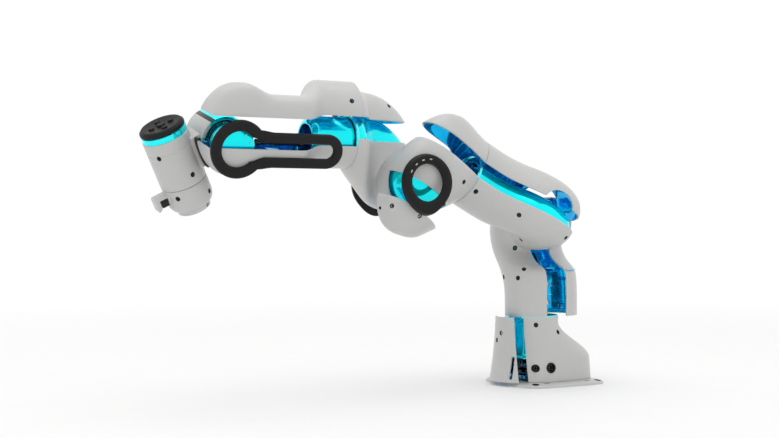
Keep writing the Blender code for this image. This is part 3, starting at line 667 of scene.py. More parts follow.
def make_foot():
    bm = bmesh.new()
    rings = []
    middle = (FOOT_FRONT + FOOT_REAR) / 2
    reach = (FOOT_FRONT - FOOT_REAR) / 2
    profile = ((0.0, 0.0), (0.0, 0.0035), (0.0012, 0.0052), (0.0045, 0.0066), (0.012, FOOT_T))
    for inward, z in profile:
        ring = []
        for i in range(128):
            angle = 2 * math.pi * (i + 0.5) / 128
            c, s = math.cos(angle), math.sin(angle)
            ring.append(bm.verts.new((middle + (reach - inward) * squared(c, 0.4),
                                      (FOOT_HALF - inward) * squared(s, 0.4), z)))
        rings.append(ring)
    join_rings(bm, rings)
    bm.faces.new(rings[0])
    bm.faces.new(rings[-1])
    bmesh.ops.recalc_face_normals(bm, faces=bm.faces)
    mesh = to_mesh(bm, "foot")
    mesh.materials.append(WHITE)
    cut = Pieces()
    for x in FOOT_HOLES_X:
        for y in (-FOOT_HOLE_Y, FOOT_HOLE_Y):
            cut.turned(((0.0045, -0.01), (0.0045, 0.0048), (0.0075, 0.0049), (0.0075, 0.02)), "Z", (x, y, 0),
                       32)
    for y in (-FOOT_HOLE_Y, FOOT_HOLE_Y):
        for x in (-0.085, 0.018):
            cut.box((x - 0.007, y - 0.0025, 0.0055), (x + 0.007, y + 0.0025, 0.02), 0.0022)
    mesh = boolean(mesh, "foot", cut.mesh("foot_holes", BLACK))
    show("foot", mesh, None, LINK_0, "base", "white_housing", "base_foot_plate")


def make_sockets():
    for name, x, radius, face in SOCKETS:
        body = Pieces()
        inner = radius * 0.72
        body.turned(((inner, face - 0.008), (radius * 0.86, face - 0.008), (radius * 0.86, face - 0.002),
                     (radius, face - 0.002), (radius, face - 0.0006), (radius - 0.0006, face),
                     (inner + 0.0005, face), (inner, face - 0.0006)), "Y", (x, 0, SOCKET_Z), closed=True)
        body.turned(((inner + 0.0004, face - 0.0090), (inner + 0.0004, face - 0.0078)), "Y", (x, 0, SOCKET_Z))
        body.turned(((radius * 0.86, 0.040), (radius * 0.86, face - 0.0085)), "Y", (x, 0, SOCKET_Z))
        body.box((x - radius * 0.16, face - 0.0078, SOCKET_Z + inner * 0.72),
                 (x + radius * 0.16, face - 0.0008, SOCKET_Z + inner + 0.0004), 0.0004)
        body.show(name + "_body", DARK, LINK_0, "base", "dark_trim", name)
        pins = Pieces()
        for i in range(5):
            angle = 2 * math.pi * i / 5 + 0.3
            spot = (x + inner * 0.55 * math.cos(angle), 0, SOCKET_Z + inner * 0.55 * math.sin(angle))
            pins.turned(((0.0006, face - 0.0080), (0.0006, face - 0.0030), (0.0003, face - 0.0024)), "Y",
                        spot, 12)
        pins.show(name + "_pins", STEEL, LINK_0, "base", "steel_drive")


def make_base_inside():
    ring = Pieces()
    ring.turned(((0.0385, 0.054), (0.0465, 0.054), (0.0465, 0.057), (0.0420, 0.060), (0.0420, 0.128),
                 (0.0465, 0.131), (0.0465, 0.1365), (0.0385, 0.1365)), closed=True, around=96)
    for i in range(12):
        turn = Matrix.Rotation(2 * math.pi * i / 12, 4, "Z")
        ring.box((0.0415, -0.0012, 0.060), (0.0450, 0.0012, 0.128), 0.0003, turn)
    ring.show("base_inner_frame", CYAN, LINK_0, "base", "cyan_chassis",
         "base_chassis")
    actuator("actuator_1", "joint_1_motor", MOTOR_R, 0.058, 0.134, "Z", (0, 0, 0), LINK_0, "base")
    output = Pieces()
    output.turned(((0.020, SEAM_1 + 0.0026), (0.036, SEAM_1 + 0.0026), (0.036, SEAM_1 + 0.0095),
                   (0.028, SEAM_1 + 0.012), (0.028, SEAM_1 + 0.018), (0.020, SEAM_1 + 0.018)), closed=True)
    output.show("output_1", STEEL, LINK_0, "column", "steel_drive", "joint_1_output")

    boards = Pieces()
    for z in (0.0105, 0.0225, 0.0345):
        boards.box((-0.078, -0.029, z), (0.030, 0.029, z + 0.0016), 0.0002)
    boards.show("boards", BOARD, LINK_0, "base", "dark_trim", "control_board")
    chips = Pieces()
    for z in (0.0121, 0.0241, 0.0361):
        for i in range(7):
            for j in range(3):
                width = 0.004 + 0.003 * ((i * 3 + j * 5) % 4) / 3
                tall = 0.002 + 0.0050 * ((i * 5 + j * 7) % 5) / 4
                x = -0.070 + i * 0.0153
                y = -0.019 + j * 0.019
                chips.box((x - width, y - width * 0.8, z), (x + width, y + width * 0.8, z + tall), 0.0003)
    chips.show("chips", BLACK, LINK_0, "base", "dark_trim")
    wires = Pieces()
    for i in range(6):
        y = -0.026 + i * 0.0104
        wires.pipe(((0.026, y, 0.040), (0.037, y * 0.9, 0.036 + 0.003 * (i % 2)), (0.040, y * 0.8, 0.052),
                    (0.034, y * 0.5, 0.058)), 0.0014 + 0.0004 * (i % 2), 8)
    wires.show("base_wires", BLACK, LINK_0, "base", "dark_trim")
    plugs = Pieces()
    for i in range(5):
        y = -0.024 + i * 0.012
        plugs.box((0.024, y - 0.004, 0.0375), (0.0345, y + 0.004, 0.0440), 0.0006)
        plugs.box((0.030, y - 0.0035, 0.0125), (0.0365, y + 0.0035, 0.0195), 0.0006)
    plugs.show("base_plugs", BLUE, LINK_0, "base", "blue_actuator")


# ---- column -------------------------------------------------------------------------------------
def make_column():
    rows = bend_rows(1.0, SHOULDER_Z - SEAM_1 - GAP, 0.0)
    bm = surface_through(bend_rings(rows, column_place))
    keep_side(bm, (0, 0, 0), (-1, 0, 0))
    places = [tube_hole(0.166, 142), side_hole(0.0335, -0.0116, 0.2816, (0.6, 0.8, -0.1)),
              side_hole(0.0386, 0.0275, 0.2392, (0.61, 0.56, 0.55)),
              side_hole(0.0490, 0.0208, 0.2207, (0.92, 0.39, 0.09)),
              side_hole(0.0490, -0.0250, 0.2207, (0.90, -0.42, 0.09))]
    mesh = shell_mesh(bm, "column_front", holes_at(places))
    show("column_front", mesh, None, LINK_1, "column", "white_housing", "column_front_shell")
    screws_at("column_front_screws", places, LINK_1, "column")

    bm = surface_through(bend_rings(rows, column_place))
    keep_side(bm, (0, 0, 0), (1, 0, 0))
    off = stand_off("column_cover_slide")
    places = [tube_hole(0.158, -62), tube_hole(0.158, -118)]
    mesh = shell_mesh(bm, "column_cover_shell", holes_at(places))
    show("column_cover_shell", mesh, None, off, "column_cover", "white_cover", "column_back_cover")
    screws_at("column_cover_screws", places, off, "column_cover")
    bosses = Pieces()
    for z in (0.158, 0.215):
        for degrees in (-62, -90, -118):
            point, outward = tube_hole(z, degrees, TUBE_R - WALL)
            bosses.turned(((0.0020, 0.0), (0.0042, -0.0005), (0.0036, 0.009), (0.0020, 0.009)), closed=True,
                          around=24, matrix=facing((point, -outward)))
    for z in (0.180, 0.198, 0.236):
        bosses.turned(((0.0485, z), (0.0520, z), (0.0520, z + 0.0016), (0.0485, z + 0.0016)), closed=True,
                      around=72)
    show("column_cover_ribs", cut_behind(bosses.mesh("column_cover_ribs"), -0.002), BLUE, off,
         "column_cover", "cyan_chassis")

    inner_frame("column_inner_frame", bend_rings(rows, column_place, 0.0085, 0.42, 0.004), LINK_1, "column",
                "column_chassis")
    actuator("actuator_2", "joint_2_motor", MOTOR_R, -0.057, -0.006, "Y", (0, 0, SHOULDER_Z), LINK_1,
             "column")
    seam_band("seam_ring_2a", 0.0500, 0.003, 0.006, LINK_1 @ Matrix.Translation((0, 0, SHOULDER_Z))
              @ Matrix.Rotation(math.radians(90), 4, "X"), "column")

    bundle = Pieces()
    for i in range(5):
        y = -0.016 + i * 0.008
        bundle.pipe(((-0.026, y, 0.150), (-0.0265, y, 0.185), (-0.025, y - 0.004, 0.215),
                     (-0.020, y - 0.016, 0.245), (-0.018, -0.040 + i * 0.006, 0.270)), 0.0026, 10)
    bundle.show("column_cables", BLACK, LINK_1, "column", "dark_trim")
    clamps = Pieces()
    for z in (0.168, 0.206):
        clamps.box((-0.0305, -0.022, z - 0.004), (-0.0245, 0.022, z + 0.004), 0.001)
    clamps.show("column_clamps", STEEL, LINK_1, "column", "steel_drive")


# ---- upper arm ----------------------------------------------------------------------------------
def make_upper_arm():
    rows = bend_rows(1.0, SEAM_3 - GAP, 0.0)
    bm = surface_through(bend_rings(rows, upper_place))
    keep_side(bm, (0, 0, 0), (-1, 0, 0))
    places = [tube_hole(0.1811, 28), tube_hole(0.1811, 152),
              side_hole(0.0260, 0.0762, 0.0836, (0.47, 0.74, 0.49)),
              side_hole(0.0194, 0.1000, -0.0261, (0.41, 0.81, -0.42)),
              side_hole(0.0517, 0.0264, 0.0236, (0.96, -0.15, 0.25))]
    mesh = shell_mesh(bm, "upper_arm_front", holes_at(places))
    show("upper_arm_front", mesh, None, LINK_2, "upper_arm", "white_housing", "upper_arm_front_shell")
    screws_at("upper_arm_screws", places, LINK_2, "upper_arm")

    bm = surface_through(bend_rings(rows, upper_place))
    keep_side(bm, (0, 0, 0), (1, 0, 0))
    notch = Pieces()
    notch.turned(((0.030, 0.070), (0.036, 0.150)), "Y", (0.008, 0, 0.026), 72)
    mesh = shell_mesh(bm, "upper_arm_cover_shell", notch.mesh("notch"))
    off = link_stand_off(LINK_2, "upper_arm_cover_slide", -1)
    show("upper_arm_cover_shell", mesh, None, off, "upper_arm_cover", "white_cover",
         "upper_arm_back_shell")
    ribs = Pieces()
    for z in (0.120, 0.140, 0.158, 0.174):
        ribs.turned(((0.0480, z), (0.0519, z), (0.0519, z + 0.0018), (0.0480, z + 0.0018)), closed=True,
                    around=72)
    for z, degrees in ((0.130, -60), (0.130, -120), (0.168, -60), (0.168, -120)):
        point, outward = tube_hole(z, degrees, TUBE_R - WALL)
        ribs.turned(((0.0020, 0.0), (0.0044, -0.0005), (0.0038, 0.010), (0.0020, 0.010)), closed=True,
                    around=24, matrix=facing((point, -outward)))
    trimmed = cut_behind(ribs.mesh("upper_cover_ribs"), -0.003)
    show("upper_cover_ribs", trimmed, BLUE, off, "upper_arm_cover", "cyan_chassis")

    inner_frame("upper_inner_frame", bend_rings(rows, upper_place, 0.0085, 0.86, 0.002), LINK_2, "upper_arm",
                "upper_arm_chassis")
    actuator("actuator_3", "joint_3_motor", MOTOR_R, 0.124, 0.182, "Z", (0, 0, 0), LINK_2, "upper_arm")
    output = Pieces()
    output.turned(((0.022, 0.0026), (0.036, 0.0026), (0.036, 0.0095), (0.028, 0.012), (0.028, 0.020),
                   (0.022, 0.020)), "Y", closed=True)
    output.show("output_2", STEEL, LINK_2, "upper_arm", "steel_drive",
         "joint_2_output")

    bracket = Pieces()
    for i in range(4):
        z = 0.082 + i * 0.016
        bracket.box((-0.0260, 0.008, z), (-0.0185, 0.046 - i * 0.003, z + 0.0035), 0.0008)
    bracket.box((-0.0285, 0.012, 0.080), (-0.0235, 0.020, 0.138), 0.001)
    bracket.turned(((0.006, -0.034), (0.010, -0.034), (0.010, -0.020), (0.006, -0.020)), "X",
                   (0, 0.030, 0.070), closed=True)
    bracket.show("upper_bracket", STEEL, LINK_2, "upper_arm", "steel_drive")
    bundle = Pieces()
    for i in range(5):
        y = 0.006 + i * 0.0062
        bundle.pipe(((-0.022, y + 0.028, 0.010), (-0.026, y + 0.022, 0.045), (-0.0275, y + 0.010, 0.080),
                     (-0.0265, y, 0.120), (-0.0240, y - 0.008, 0.180)), 0.0024, 10)
    bundle.show("upper_cables", BLACK, LINK_2, "upper_arm", "dark_trim")
    plugs = Pieces()
    for i in range(3):
        z = 0.098 + i * 0.020
        plugs.box((-0.0330, 0.014 - i * 0.002, z), (-0.0255, 0.034 - i * 0.002, z + 0.010), 0.001)
    plugs.show("upper_plugs", BLUE, LINK_2, "upper_arm", "blue_actuator")


# ---- elbow --------------------------------------------------------------------------------------
def without(bm, planes, inside):
    """Splits the surface at planes and drops the faces whose middle is inside."""
    for point, normal in planes:
        geometry = bm.verts[:] + bm.edges[:] + bm.faces[:]
        bmesh.ops.bisect_plane(bm, geom=geometry, plane_co=point, plane_no=normal)
    faces = [face for face in bm.faces if inside(face.calc_center_median())]
    bmesh.ops.delete(bm, geom=faces, context="FACES")


def trim_ring(name, side, centre, turn, frame_matrix, body, node):
    """The dark trim ring on a barrel's end, chamfered and drawn out to a blunt point."""
    bm = bmesh.new()
    count = 120
    profile = ((RING_WINDOW_R, RING_NEAR, 0), (RING_WINDOW_R, RING_FAR - 0.0045, 0),
               (RING_WINDOW_R + 0.0035, RING_FAR - 0.0012, 0), (RING_WINDOW_R + 0.0055, RING_FAR, 0),
               (RING_R - 0.0075, RING_FAR, 1), (RING_R - 0.0035, RING_FAR - 0.0020, 1),
               (RING_R - 0.0008, RING_FAR - 0.0080, 1), (RING_R, RING_NEAR, 1))
    rings = []
    for radius, depth, grows in profile:
        ring = []
        for i in range(count):
            angle = 2 * math.pi * i / count
            reach = radius + 0.008 * max(0.0, math.cos(angle)) ** 8 * grows
            ring.append(bm.verts.new((reach * math.cos(angle), side * depth, reach * math.sin(angle))))
        rings.append(ring)
    join_rings(bm, rings, closed=True)
    bmesh.ops.recalc_face_normals(bm, faces=bm.faces)
    mesh = to_mesh(bm, name)
    mesh.materials.append(DARK)
    mesh.materials.append(STEEL)
    cut = Pieces()
    for degrees in TRIM_RING_MARKS:
        spot = Matrix.Rotation(math.radians(-degrees), 4, "Y")
        cut.box((RING_R - 0.0125, side * RING_FAR - 0.0015, -0.0032),
                (RING_R - 0.0095, side * RING_FAR + 0.0015, 0.0032), 0.0012, spot)
    mesh = boolean(mesh, name, cut.mesh("ring_slots"))
    place = frame_matrix @ Matrix.Translation(centre) @ turn
    show(name, mesh, None, place, body, "dark_trim", node)
    inlay = Pieces()
    for degrees in TRIM_RING_MARKS:
        spot = Matrix.Rotation(math.radians(-degrees), 4, "Y")
        inlay.box((RING_R - 0.0123, side * (RING_FAR - 0.0010) - 0.0005, -0.0030),
                  (RING_R - 0.0097, side * (RING_FAR - 0.0010) + 0.0005, 0.0030), 0.0003, spot)
    inlay.show(name + "_inlays", WHITE, place, body, "white_cover")


def make_elbow_upper():
    rows = bend_rows(ELBOW_REACH, UPPER_ARM - SEAM_3 - GAP, ELBOW_X)
    bm = surface_through(bend_rings(rows, elbow_upper_place))
    keep_side(bm, (0, 0, 0), (-1, 0, 0))
    without(bm, (((ELBOW_X, 0, 0), (1, 0, 0)), ((0, UNDER_COVER_Y, 0), (0, 1, 0))),
            lambda point: point.x > ELBOW_X and point.y > UNDER_COVER_Y)
    places = [side_hole(0.0307, 0.0717, 0.2276, (0.12, 0.90, -0.43)), tube_hole(0.208, 150)]
    mesh = shell_mesh(bm, "elbow_upper_housing", holes_at(places))
    show("elbow_upper_housing", mesh, None, LINK_3, "elbow_upper", "white_housing", "elbow_upper_shell")
    screws_at("elbow_upper_screws", places, LINK_3, "elbow_upper")

    bm = surface_through(bend_rings(rows, elbow_upper_place))
    keep_side(bm, (0, 0, 0), (1, 0, 0))
    off = link_stand_off(LINK_3, "elbow_back_cover_slide", -1)
    places = [tube_hole(0.214, -70), tube_hole(0.214, -20)]
    show("elbow_back_cover_shell", shell_mesh(bm, "elbow_back_cover_shell", holes_at(places)), None, off,
         "elbow_back_cover", "white_cover", "elbow_back_shell")
    screws_at("elbow_back_screws", places, off, "elbow_back_cover")

    bm = surface_through(bend_rings(rows, elbow_upper_place))
    keep_side(bm, (ELBOW_X + GAP, 0, 0), (-1, 0, 0))
    keep_side(bm, (0, UNDER_COVER_Y + GAP, 0), (0, -1, 0))
    off = link_stand_off(LINK_3, "elbow_under_cover_slide", 1)
    places = [side_hole(0.1094, 0.0380 + 0.006, 0.3566, (0.56, 0.22, 0.80)),
              side_hole(0.1000, 0.0691, 0.3469, (0.45, 0.58, 0.68)),
              side_hole(0.0908, 0.0826, 0.2902, (0.38, 0.90, -0.23))]
    show("elbow_under_cover_shell", shell_mesh(bm, "elbow_under_cover_shell", holes_at(places)), None, off,
         "elbow_lower_cover", "white_cover", "elbow_under_cover")
    screws_at("elbow_under_screws", places, off, "elbow_lower_cover")

    inner_frame("elbow_upper_frame", bend_rings(rows, elbow_upper_place, 0.0085, 0.42, 0.03), LINK_3,
                "elbow_upper", "elbow_upper_chassis")
    centre = (ELBOW_X, 0, UPPER_ARM)
    trim_ring("left_trim_ring", 1, centre, Matrix.Rotation(ELBOW_FOLD, 4, "Y"), LINK_3, "elbow_upper",
              "elbow_left_ring")
    output = Pieces()
    output.turned(((0.020, SEAM_3 + 0.0026), (0.033, SEAM_3 + 0.0026), (0.033, SEAM_3 + 0.0085),
                   (0.026, SEAM_3 + 0.011), (0.026, SEAM_3 + 0.014), (0.020, SEAM_3 + 0.014)), closed=True)
    output.show("output_3", STEEL, LINK_3, "elbow_upper", "steel_drive",
         "joint_3_output")
    actuator("actuator_4", "joint_4_motor", 0.0285, 0.006, 0.038, "Y", centre, LINK_3, "elbow_upper")
    seam_band("seam_ring_3", TUBE_R - 0.001, SEAM_3 - 0.003, SEAM_3 + 0.002, LINK_2, "upper_arm")
    wires = Pieces()
    for i in range(4):
        wires.pipe(((0.010 + i * 0.006, 0.010, 0.222), (0.020 + i * 0.007, 0.030, 0.236),
                    (0.040 + i * 0.006, 0.044, 0.262), (0.062 + i * 0.004, 0.046, 0.292)), 0.0022, 10)
    wires.show("elbow_cables", BLACK, LINK_3, "elbow_upper", "dark_trim")


def make_elbow_lower():
    rows = bend_rows(ELBOW_REACH, SEAM_5 - GAP, ELBOW_X)
    bm = surface_through(bend_rings(rows, elbow_lower_place))
    keep_side(bm, (-ELBOW_X, 0, 0), (-1, 0, 0))
    mesh = shell_mesh(bm, "elbow_lower_housing")
    show("elbow_lower_housing", mesh, None, LINK_4, "elbow_lower", "white_housing", "elbow_lower_shell")

    bm = surface_through(bend_rings(rows, elbow_lower_place))
    keep_side(bm, (-ELBOW_X, 0, 0), (1, 0, 0))
    off = link_stand_off(LINK_4, "elbow_top_cover_slide", -1)
    point, outward = tube_hole(0.112, -60)
    places = [(point + Vector((-ELBOW_X, 0, 0)), outward),
              side_hole(-0.1133, -0.0314, 0.0079, (-0.61, 0.74, -0.30))]
    show("elbow_top_cover_shell", shell_mesh(bm, "elbow_top_cover_shell", holes_at(places)), None, off,
         "elbow_top_cover", "white_cover", "elbow_top_shell")
    screws_at("elbow_top_screws", places, off, "elbow_top_cover")

    inner_frame("elbow_lower_frame", bend_rings(rows, elbow_lower_place, 0.0076), LINK_4, "elbow_lower",
                "elbow_lower_chassis")
    trim_ring("right_trim_ring", -1, (0, 0, 0), Matrix.Identity(4), LINK_4, "elbow_lower",
              "elbow_right_ring")
    output = Pieces()
    output.turned(((0.018, -0.016), (0.024, -0.016), (0.024, -0.0105), (0.031, -0.0095), (0.031, -0.003),
                   (0.018, -0.003)), "Y", closed=True)
    output.show("output_4", STEEL, LINK_4, "elbow_lower", "steel_drive",
         "joint_4_output")
    actuator("actuator_5", "joint_5_motor", 0.0295, 0.102, 0.119, "Z", (-ELBOW_X, 0, 0), LINK_4,
             "elbow_lower")
    seam_band("seam_ring_5", TUBE_R - 0.001, SEAM_5 - 0.003, SEAM_5 + 0.002, LINK_4, "elbow_lower",
              (-ELBOW_X, 0, 0))


# ---- forearm ------------------------------------------------------------------------------------
def forearm_outline(z, inset=0.0):
    """The forearm at z along its axis: a tube, then a slim arm beside it, then joint 6's round end."""
    slim = ease(z, 0.195, 0.262)
    half_x = TUBE_R + (SLENDER_HALF_X - TUBE_R) * slim
    if z >= FOREARM:
        half_x = math.sqrt(max(1e-8, J6_END_R ** 2 - (z - FOREARM) ** 2))
    elif z > 0.318:
        half_x = SLENDER_HALF_X + (J6_END_R - SLENDER_HALF_X) * ease(z, 0.318, 0.378)
    half_y = TUBE_R + (SLENDER_HALF_Y - TUBE_R) * slim
    middle_y = SLENDER_Y * slim
    power = 2.0 + 0.9 * slim
    ring = []
    for i in range(AROUND):
        angle = 2 * math.pi * (i + 0.5) / AROUND
        ring.append(Vector(((half_x - inset) * squared(math.sin(angle), 2 / power),
                            middle_y + (half_y - inset) * squared(math.cos(angle), 2 / power), z)))
    return ring


def forearm_skin():
    stations = [SEAM_5 + GAP + (FOREARM - SEAM_5 - GAP) * i / 56 for i in range(57)]
    stations += [FOREARM + J6_END_R * math.sin(math.radians(82 * i / 16)) for i in range(1, 17)]
    return surface_through([forearm_outline(z) for z in stations], close_end=True)


def keyhole_outline(round_r, slim_half, end_z):
    """(x, z) points round a keyhole: joint 6's circle, blended into a slim slot with a round end."""
    points = []
    steps = 56
    for i in range(steps + 1):
        angle = math.radians(138) * (1 - 2 * i / steps)
        points.append((round_r * math.sin(angle), FOREARM + round_r * math.cos(angle)))
    low_z = points[-1][1]
    blend = [(i + 1) / 10 for i in range(10)]
    for t in blend:
        points.append((points[steps][0] + (-slim_half - points[steps][0]) * ease(t, 0, 1),
                       low_z - 0.030 * t))
    for i in range(25):
        angle = math.pi * i / 24
        points.append((-slim_half * math.cos(angle), end_z - slim_half * math.sin(angle)))
    for t in reversed(blend):
        points.append((points[0][0] + (slim_half - points[0][0]) * ease(t, 0, 1), low_z - 0.030 * t))
    return points


def make_forearm():
    bm = forearm_skin()
    keep_side(bm, (0, 0, 0), (-1, 0, 0))
    mesh = shell_mesh(bm, "forearm_housing")
    show("forearm_housing", mesh, None, LINK_5, "forearm", "white_housing", "forearm_lower_shell")

    bm = forearm_skin()
    keep_side(bm, (0, 0, 0), (1, 0, 0))
    off = link_stand_off(LINK_5, "forearm_cover_slide", -1)
    places = [tube_hole(0.1462, -30), side_hole(-0.0325, 0.088, 0.400, (-0.8, 0.6, 0.1))]
    show("forearm_cover_shell", shell_mesh(bm, "forearm_cover_shell", holes_at(places)), None, off,
         "forearm_cover", "white_cover", "forearm_top_shell")
    screws_at("forearm_cover_screws", places, off, "forearm_cover")

    stations = [SEAM_5 + 0.003 + 0.098 * i / 20 for i in range(21)]
    inner_frame("forearm_frame", [forearm_outline(z, 0.0105) for z in stations], LINK_5, "forearm",
                "forearm_chassis")

    output = Pieces()
    output.turned(((0.020, SEAM_5 + 0.0026), (0.036, SEAM_5 + 0.0026), (0.036, SEAM_5 + 0.0095),
                   (0.028, SEAM_5 + 0.012), (0.028, SEAM_5 + 0.0175), (0.020, SEAM_5 + 0.0175)), closed=True)
    output.show("output_5", STEEL, LINK_5, "forearm", "steel_drive",
         "joint_5_output")
    actuator("actuator_6", "joint_6_motor", 0.0365, 0.054, 0.092, "Y", (0, 0, FOREARM), LINK_5,
             "forearm", CYAN)
    rod = Pieces()
    rod.turned(((0.0044, 0.2505), (0.0063, 0.252), (0.0063, 0.2595), (0.0044, 0.2615), (0.0044, 0.2900),
                (0.0052, 0.2910), (0.0052, 0.2970), (0.0044, 0.2980), (0.0044, 0.3365), (0.0063, 0.338),
                (0.0063, 0.3455)), "Z", (-0.007, SLENDER_Y, 0), 32)
    rod.show("conduit", BLACK, LINK_5, "forearm", "dark_trim", "cable_conduit")
    blocks = Pieces()
    blocks.box((-0.0155, SLENDER_Y - 0.012, 0.262), (-0.0125, SLENDER_Y + 0.012, 0.284), 0.001)
    blocks.box((0.004, SLENDER_Y - 0.010, 0.300), (0.014, SLENDER_Y + 0.014, 0.322), 0.001)
    blocks.show("forearm_plugs", BLUE, LINK_5, "forearm", "blue_actuator")

    bm = bmesh.new()
    near, far = 0.1035, 0.112
    loops = ((0.033, 0.0135, near), (0.033, 0.0135, far - 0.0040), (0.0350, 0.0155, far - 0.0010),
             (0.0370, 0.0175, far), (0.0490, 0.0280, far), (0.0515, 0.0305, far - 0.0014),
             (0.0530, 0.0320, far - 0.0045), (0.0530, 0.0320, near))
    rings = []
    for radius, half, depth in loops:
        rings.append([bm.verts.new((x, depth, z)) for x, z in keyhole_outline(radius, half, 0.216)])
    join_rings(bm, rings, closed=True)
    bmesh.ops.recalc_face_normals(bm, faces=bm.faces)
    show("forearm_trim", to_mesh(bm, "forearm_trim"), DARK, LINK_5, "forearm", "dark_trim",
         "forearm_side_trim")


# ---- wrist --------------------------------------------------------------------------------------
def make_wrist():
    barrel = Pieces()
    barrel.turned(((0.034, -0.046), (0.040, -0.0415), (0.0445, -0.038), (BARREL_R, -0.034),
                   (BARREL_R, 0.0415), (0.0450, 0.0430)), "Y", around=96)
    web = Pieces()
    web.box((0.0, -0.0300, -0.034), (WRIST_X, 0.0300, 0.030), 0.006)
    pod = Pieces()
    pod.turned(((POD_R - 0.0008, SEAM_7 + GAP), (POD_R, SEAM_7 + 0.0012), (POD_R, 0.0205),
                (POD_R - 0.0005, 0.0210), (POD_R - 0.0005, 0.0218), (POD_R, 0.0223),
                (POD_R, POD_TOP - 0.001), (POD_R - 0.0010, POD_TOP)), "Z", (WRIST_X, 0, 0), 96)
    bore = Pieces()
    bore.turned(((POD_R - WALL, SEAM_7 - 0.01), (POD_R - WALL, POD_TOP + 0.01)), "Z", (WRIST_X, 0, 0), 96)
    drum = Pieces()
    drum.turned(((0.039, -0.034), (0.039, 0.053)), "Y", around=96)
    mesh = barrel.mesh("wrist_housing", CYAN)
    mesh = boolean(mesh, "wrist_housing", web.mesh("web", WHITE), "UNION")
    mesh = boolean(mesh, "wrist_housing", pod.mesh("pod", WHITE), "UNION")
    mesh = boolean(mesh, "wrist_housing", bore.mesh("bore"))
    mesh = boolean(mesh, "wrist_housing", drum.mesh("drum"))
    mesh = bevelled(mesh, "wrist_housing", 0.0012, 3, 35.0)
    skins = [skin.name for skin in mesh.materials]
    mesh.materials.append(BLACK)
    white, cyan = skins.index(WHITE.name), skins.index(CYAN.name)
    for face in mesh.polygons:
        if face.material_index == cyan and face.center.x > WRIST_BAND[1]:
            face.material_index = white
        elif face.material_index == cyan and face.center.x > WRIST_BAND[0]:
            face.material_index = len(skins)
    places = [side_hole(WRIST_X + 0.0328, 0.0278, 0.0197, (0.77, 0.63, 0.0)),
              side_hole(WRIST_X + 0.0328, -0.0278, 0.0197, (0.77, -0.63, 0.0)),
              side_hole(WRIST_X - 0.0100, 0.0418, -0.0300, (-0.23, 0.97, 0.0))]
    mesh = boolean(mesh, "wrist_housing", holes_at(places))
    show("wrist_housing", mesh, WHITE, LINK_6, "wrist", "white_housing", "wrist_body")
    screws_at("wrist_screws", places, LINK_6, "wrist", 0.0024)

    output = Pieces()
    output.turned(((0.018, -0.027), (0.030, -0.027), (0.030, -0.010), (0.027, -0.009), (0.027, 0.004),
                   (0.030, 0.005), (0.030, 0.030), (0.0355, 0.032), (0.0355, 0.040), (0.018, 0.040)), "Y",
                  closed=True)
    output.show("output_6", STEEL, LINK_6, "wrist", "steel_drive",
         "joint_6_output")
    actuator("actuator_7", "joint_7_motor", 0.0355, -0.044, 0.032, "Z", (WRIST_X, 0, 0), LINK_6,
             "wrist")
    ring = Pieces()
    ring.turned(((0.032, 0.0362), (0.0355, 0.0362), (0.0355, POD_TOP + GAP), (POD_R - 0.0012, POD_TOP + GAP),
                 (POD_R - 0.0010, POD_TOP + 0.0012), (POD_R - 0.0010, 0.0556), (POD_R - 0.0030, 0.0568),
                 (0.032, 0.0568)), "Z", (WRIST_X, 0, 0), 96, True)
    ring.show("pilot_ring", CYAN, LINK_6, "wrist", "cyan_chassis",
         "wrist_top_ring")

    for name, node, side in (("left_wrist_trim", "wrist_left_trim", 1),
                             ("right_wrist_trim", "wrist_right_trim", -1)):
        bm = bmesh.new()
        rings = []
        for depth, grow in ((0.0306, 0.0), (0.0410, 0.0), (0.0424, 0.0010), (0.0430, 0.0024)):
            ring = []
            for i in range(48):
                angle = 2 * math.pi * (i + 0.5) / 48
                c, s = math.cos(angle), math.sin(angle)
                ring.append(bm.verts.new((0.0445 + (0.0065 - grow) * squared(c, 0.6), side * depth,
                                          -0.002 + (0.030 - grow) * squared(s, 0.75))))
            rings.append(ring)
        join_rings(bm, rings)
        bm.faces.new(rings[0])
        bm.faces.new(rings[-1])
        bmesh.ops.recalc_face_normals(bm, faces=bm.faces)
        mesh = to_mesh(bm, name)
        mesh.materials.append(BLACK)
        room = Pieces()
        room.turned(((BARREL_R + GAP, -0.06), (BARREL_R + GAP, 0.06)), "Y", around=96)
        mesh = boolean(mesh, name, room.mesh("room"))
        room = Pieces()
        room.turned(((POD_R + GAP, -0.07), (POD_R + GAP, 0.07)), "Z", (WRIST_X, 0, 0), 96)
        mesh = boolean(mesh, name, room.mesh("room"))
        show(name, mesh, BLACK, LINK_6, "wrist", "dark_trim", node)


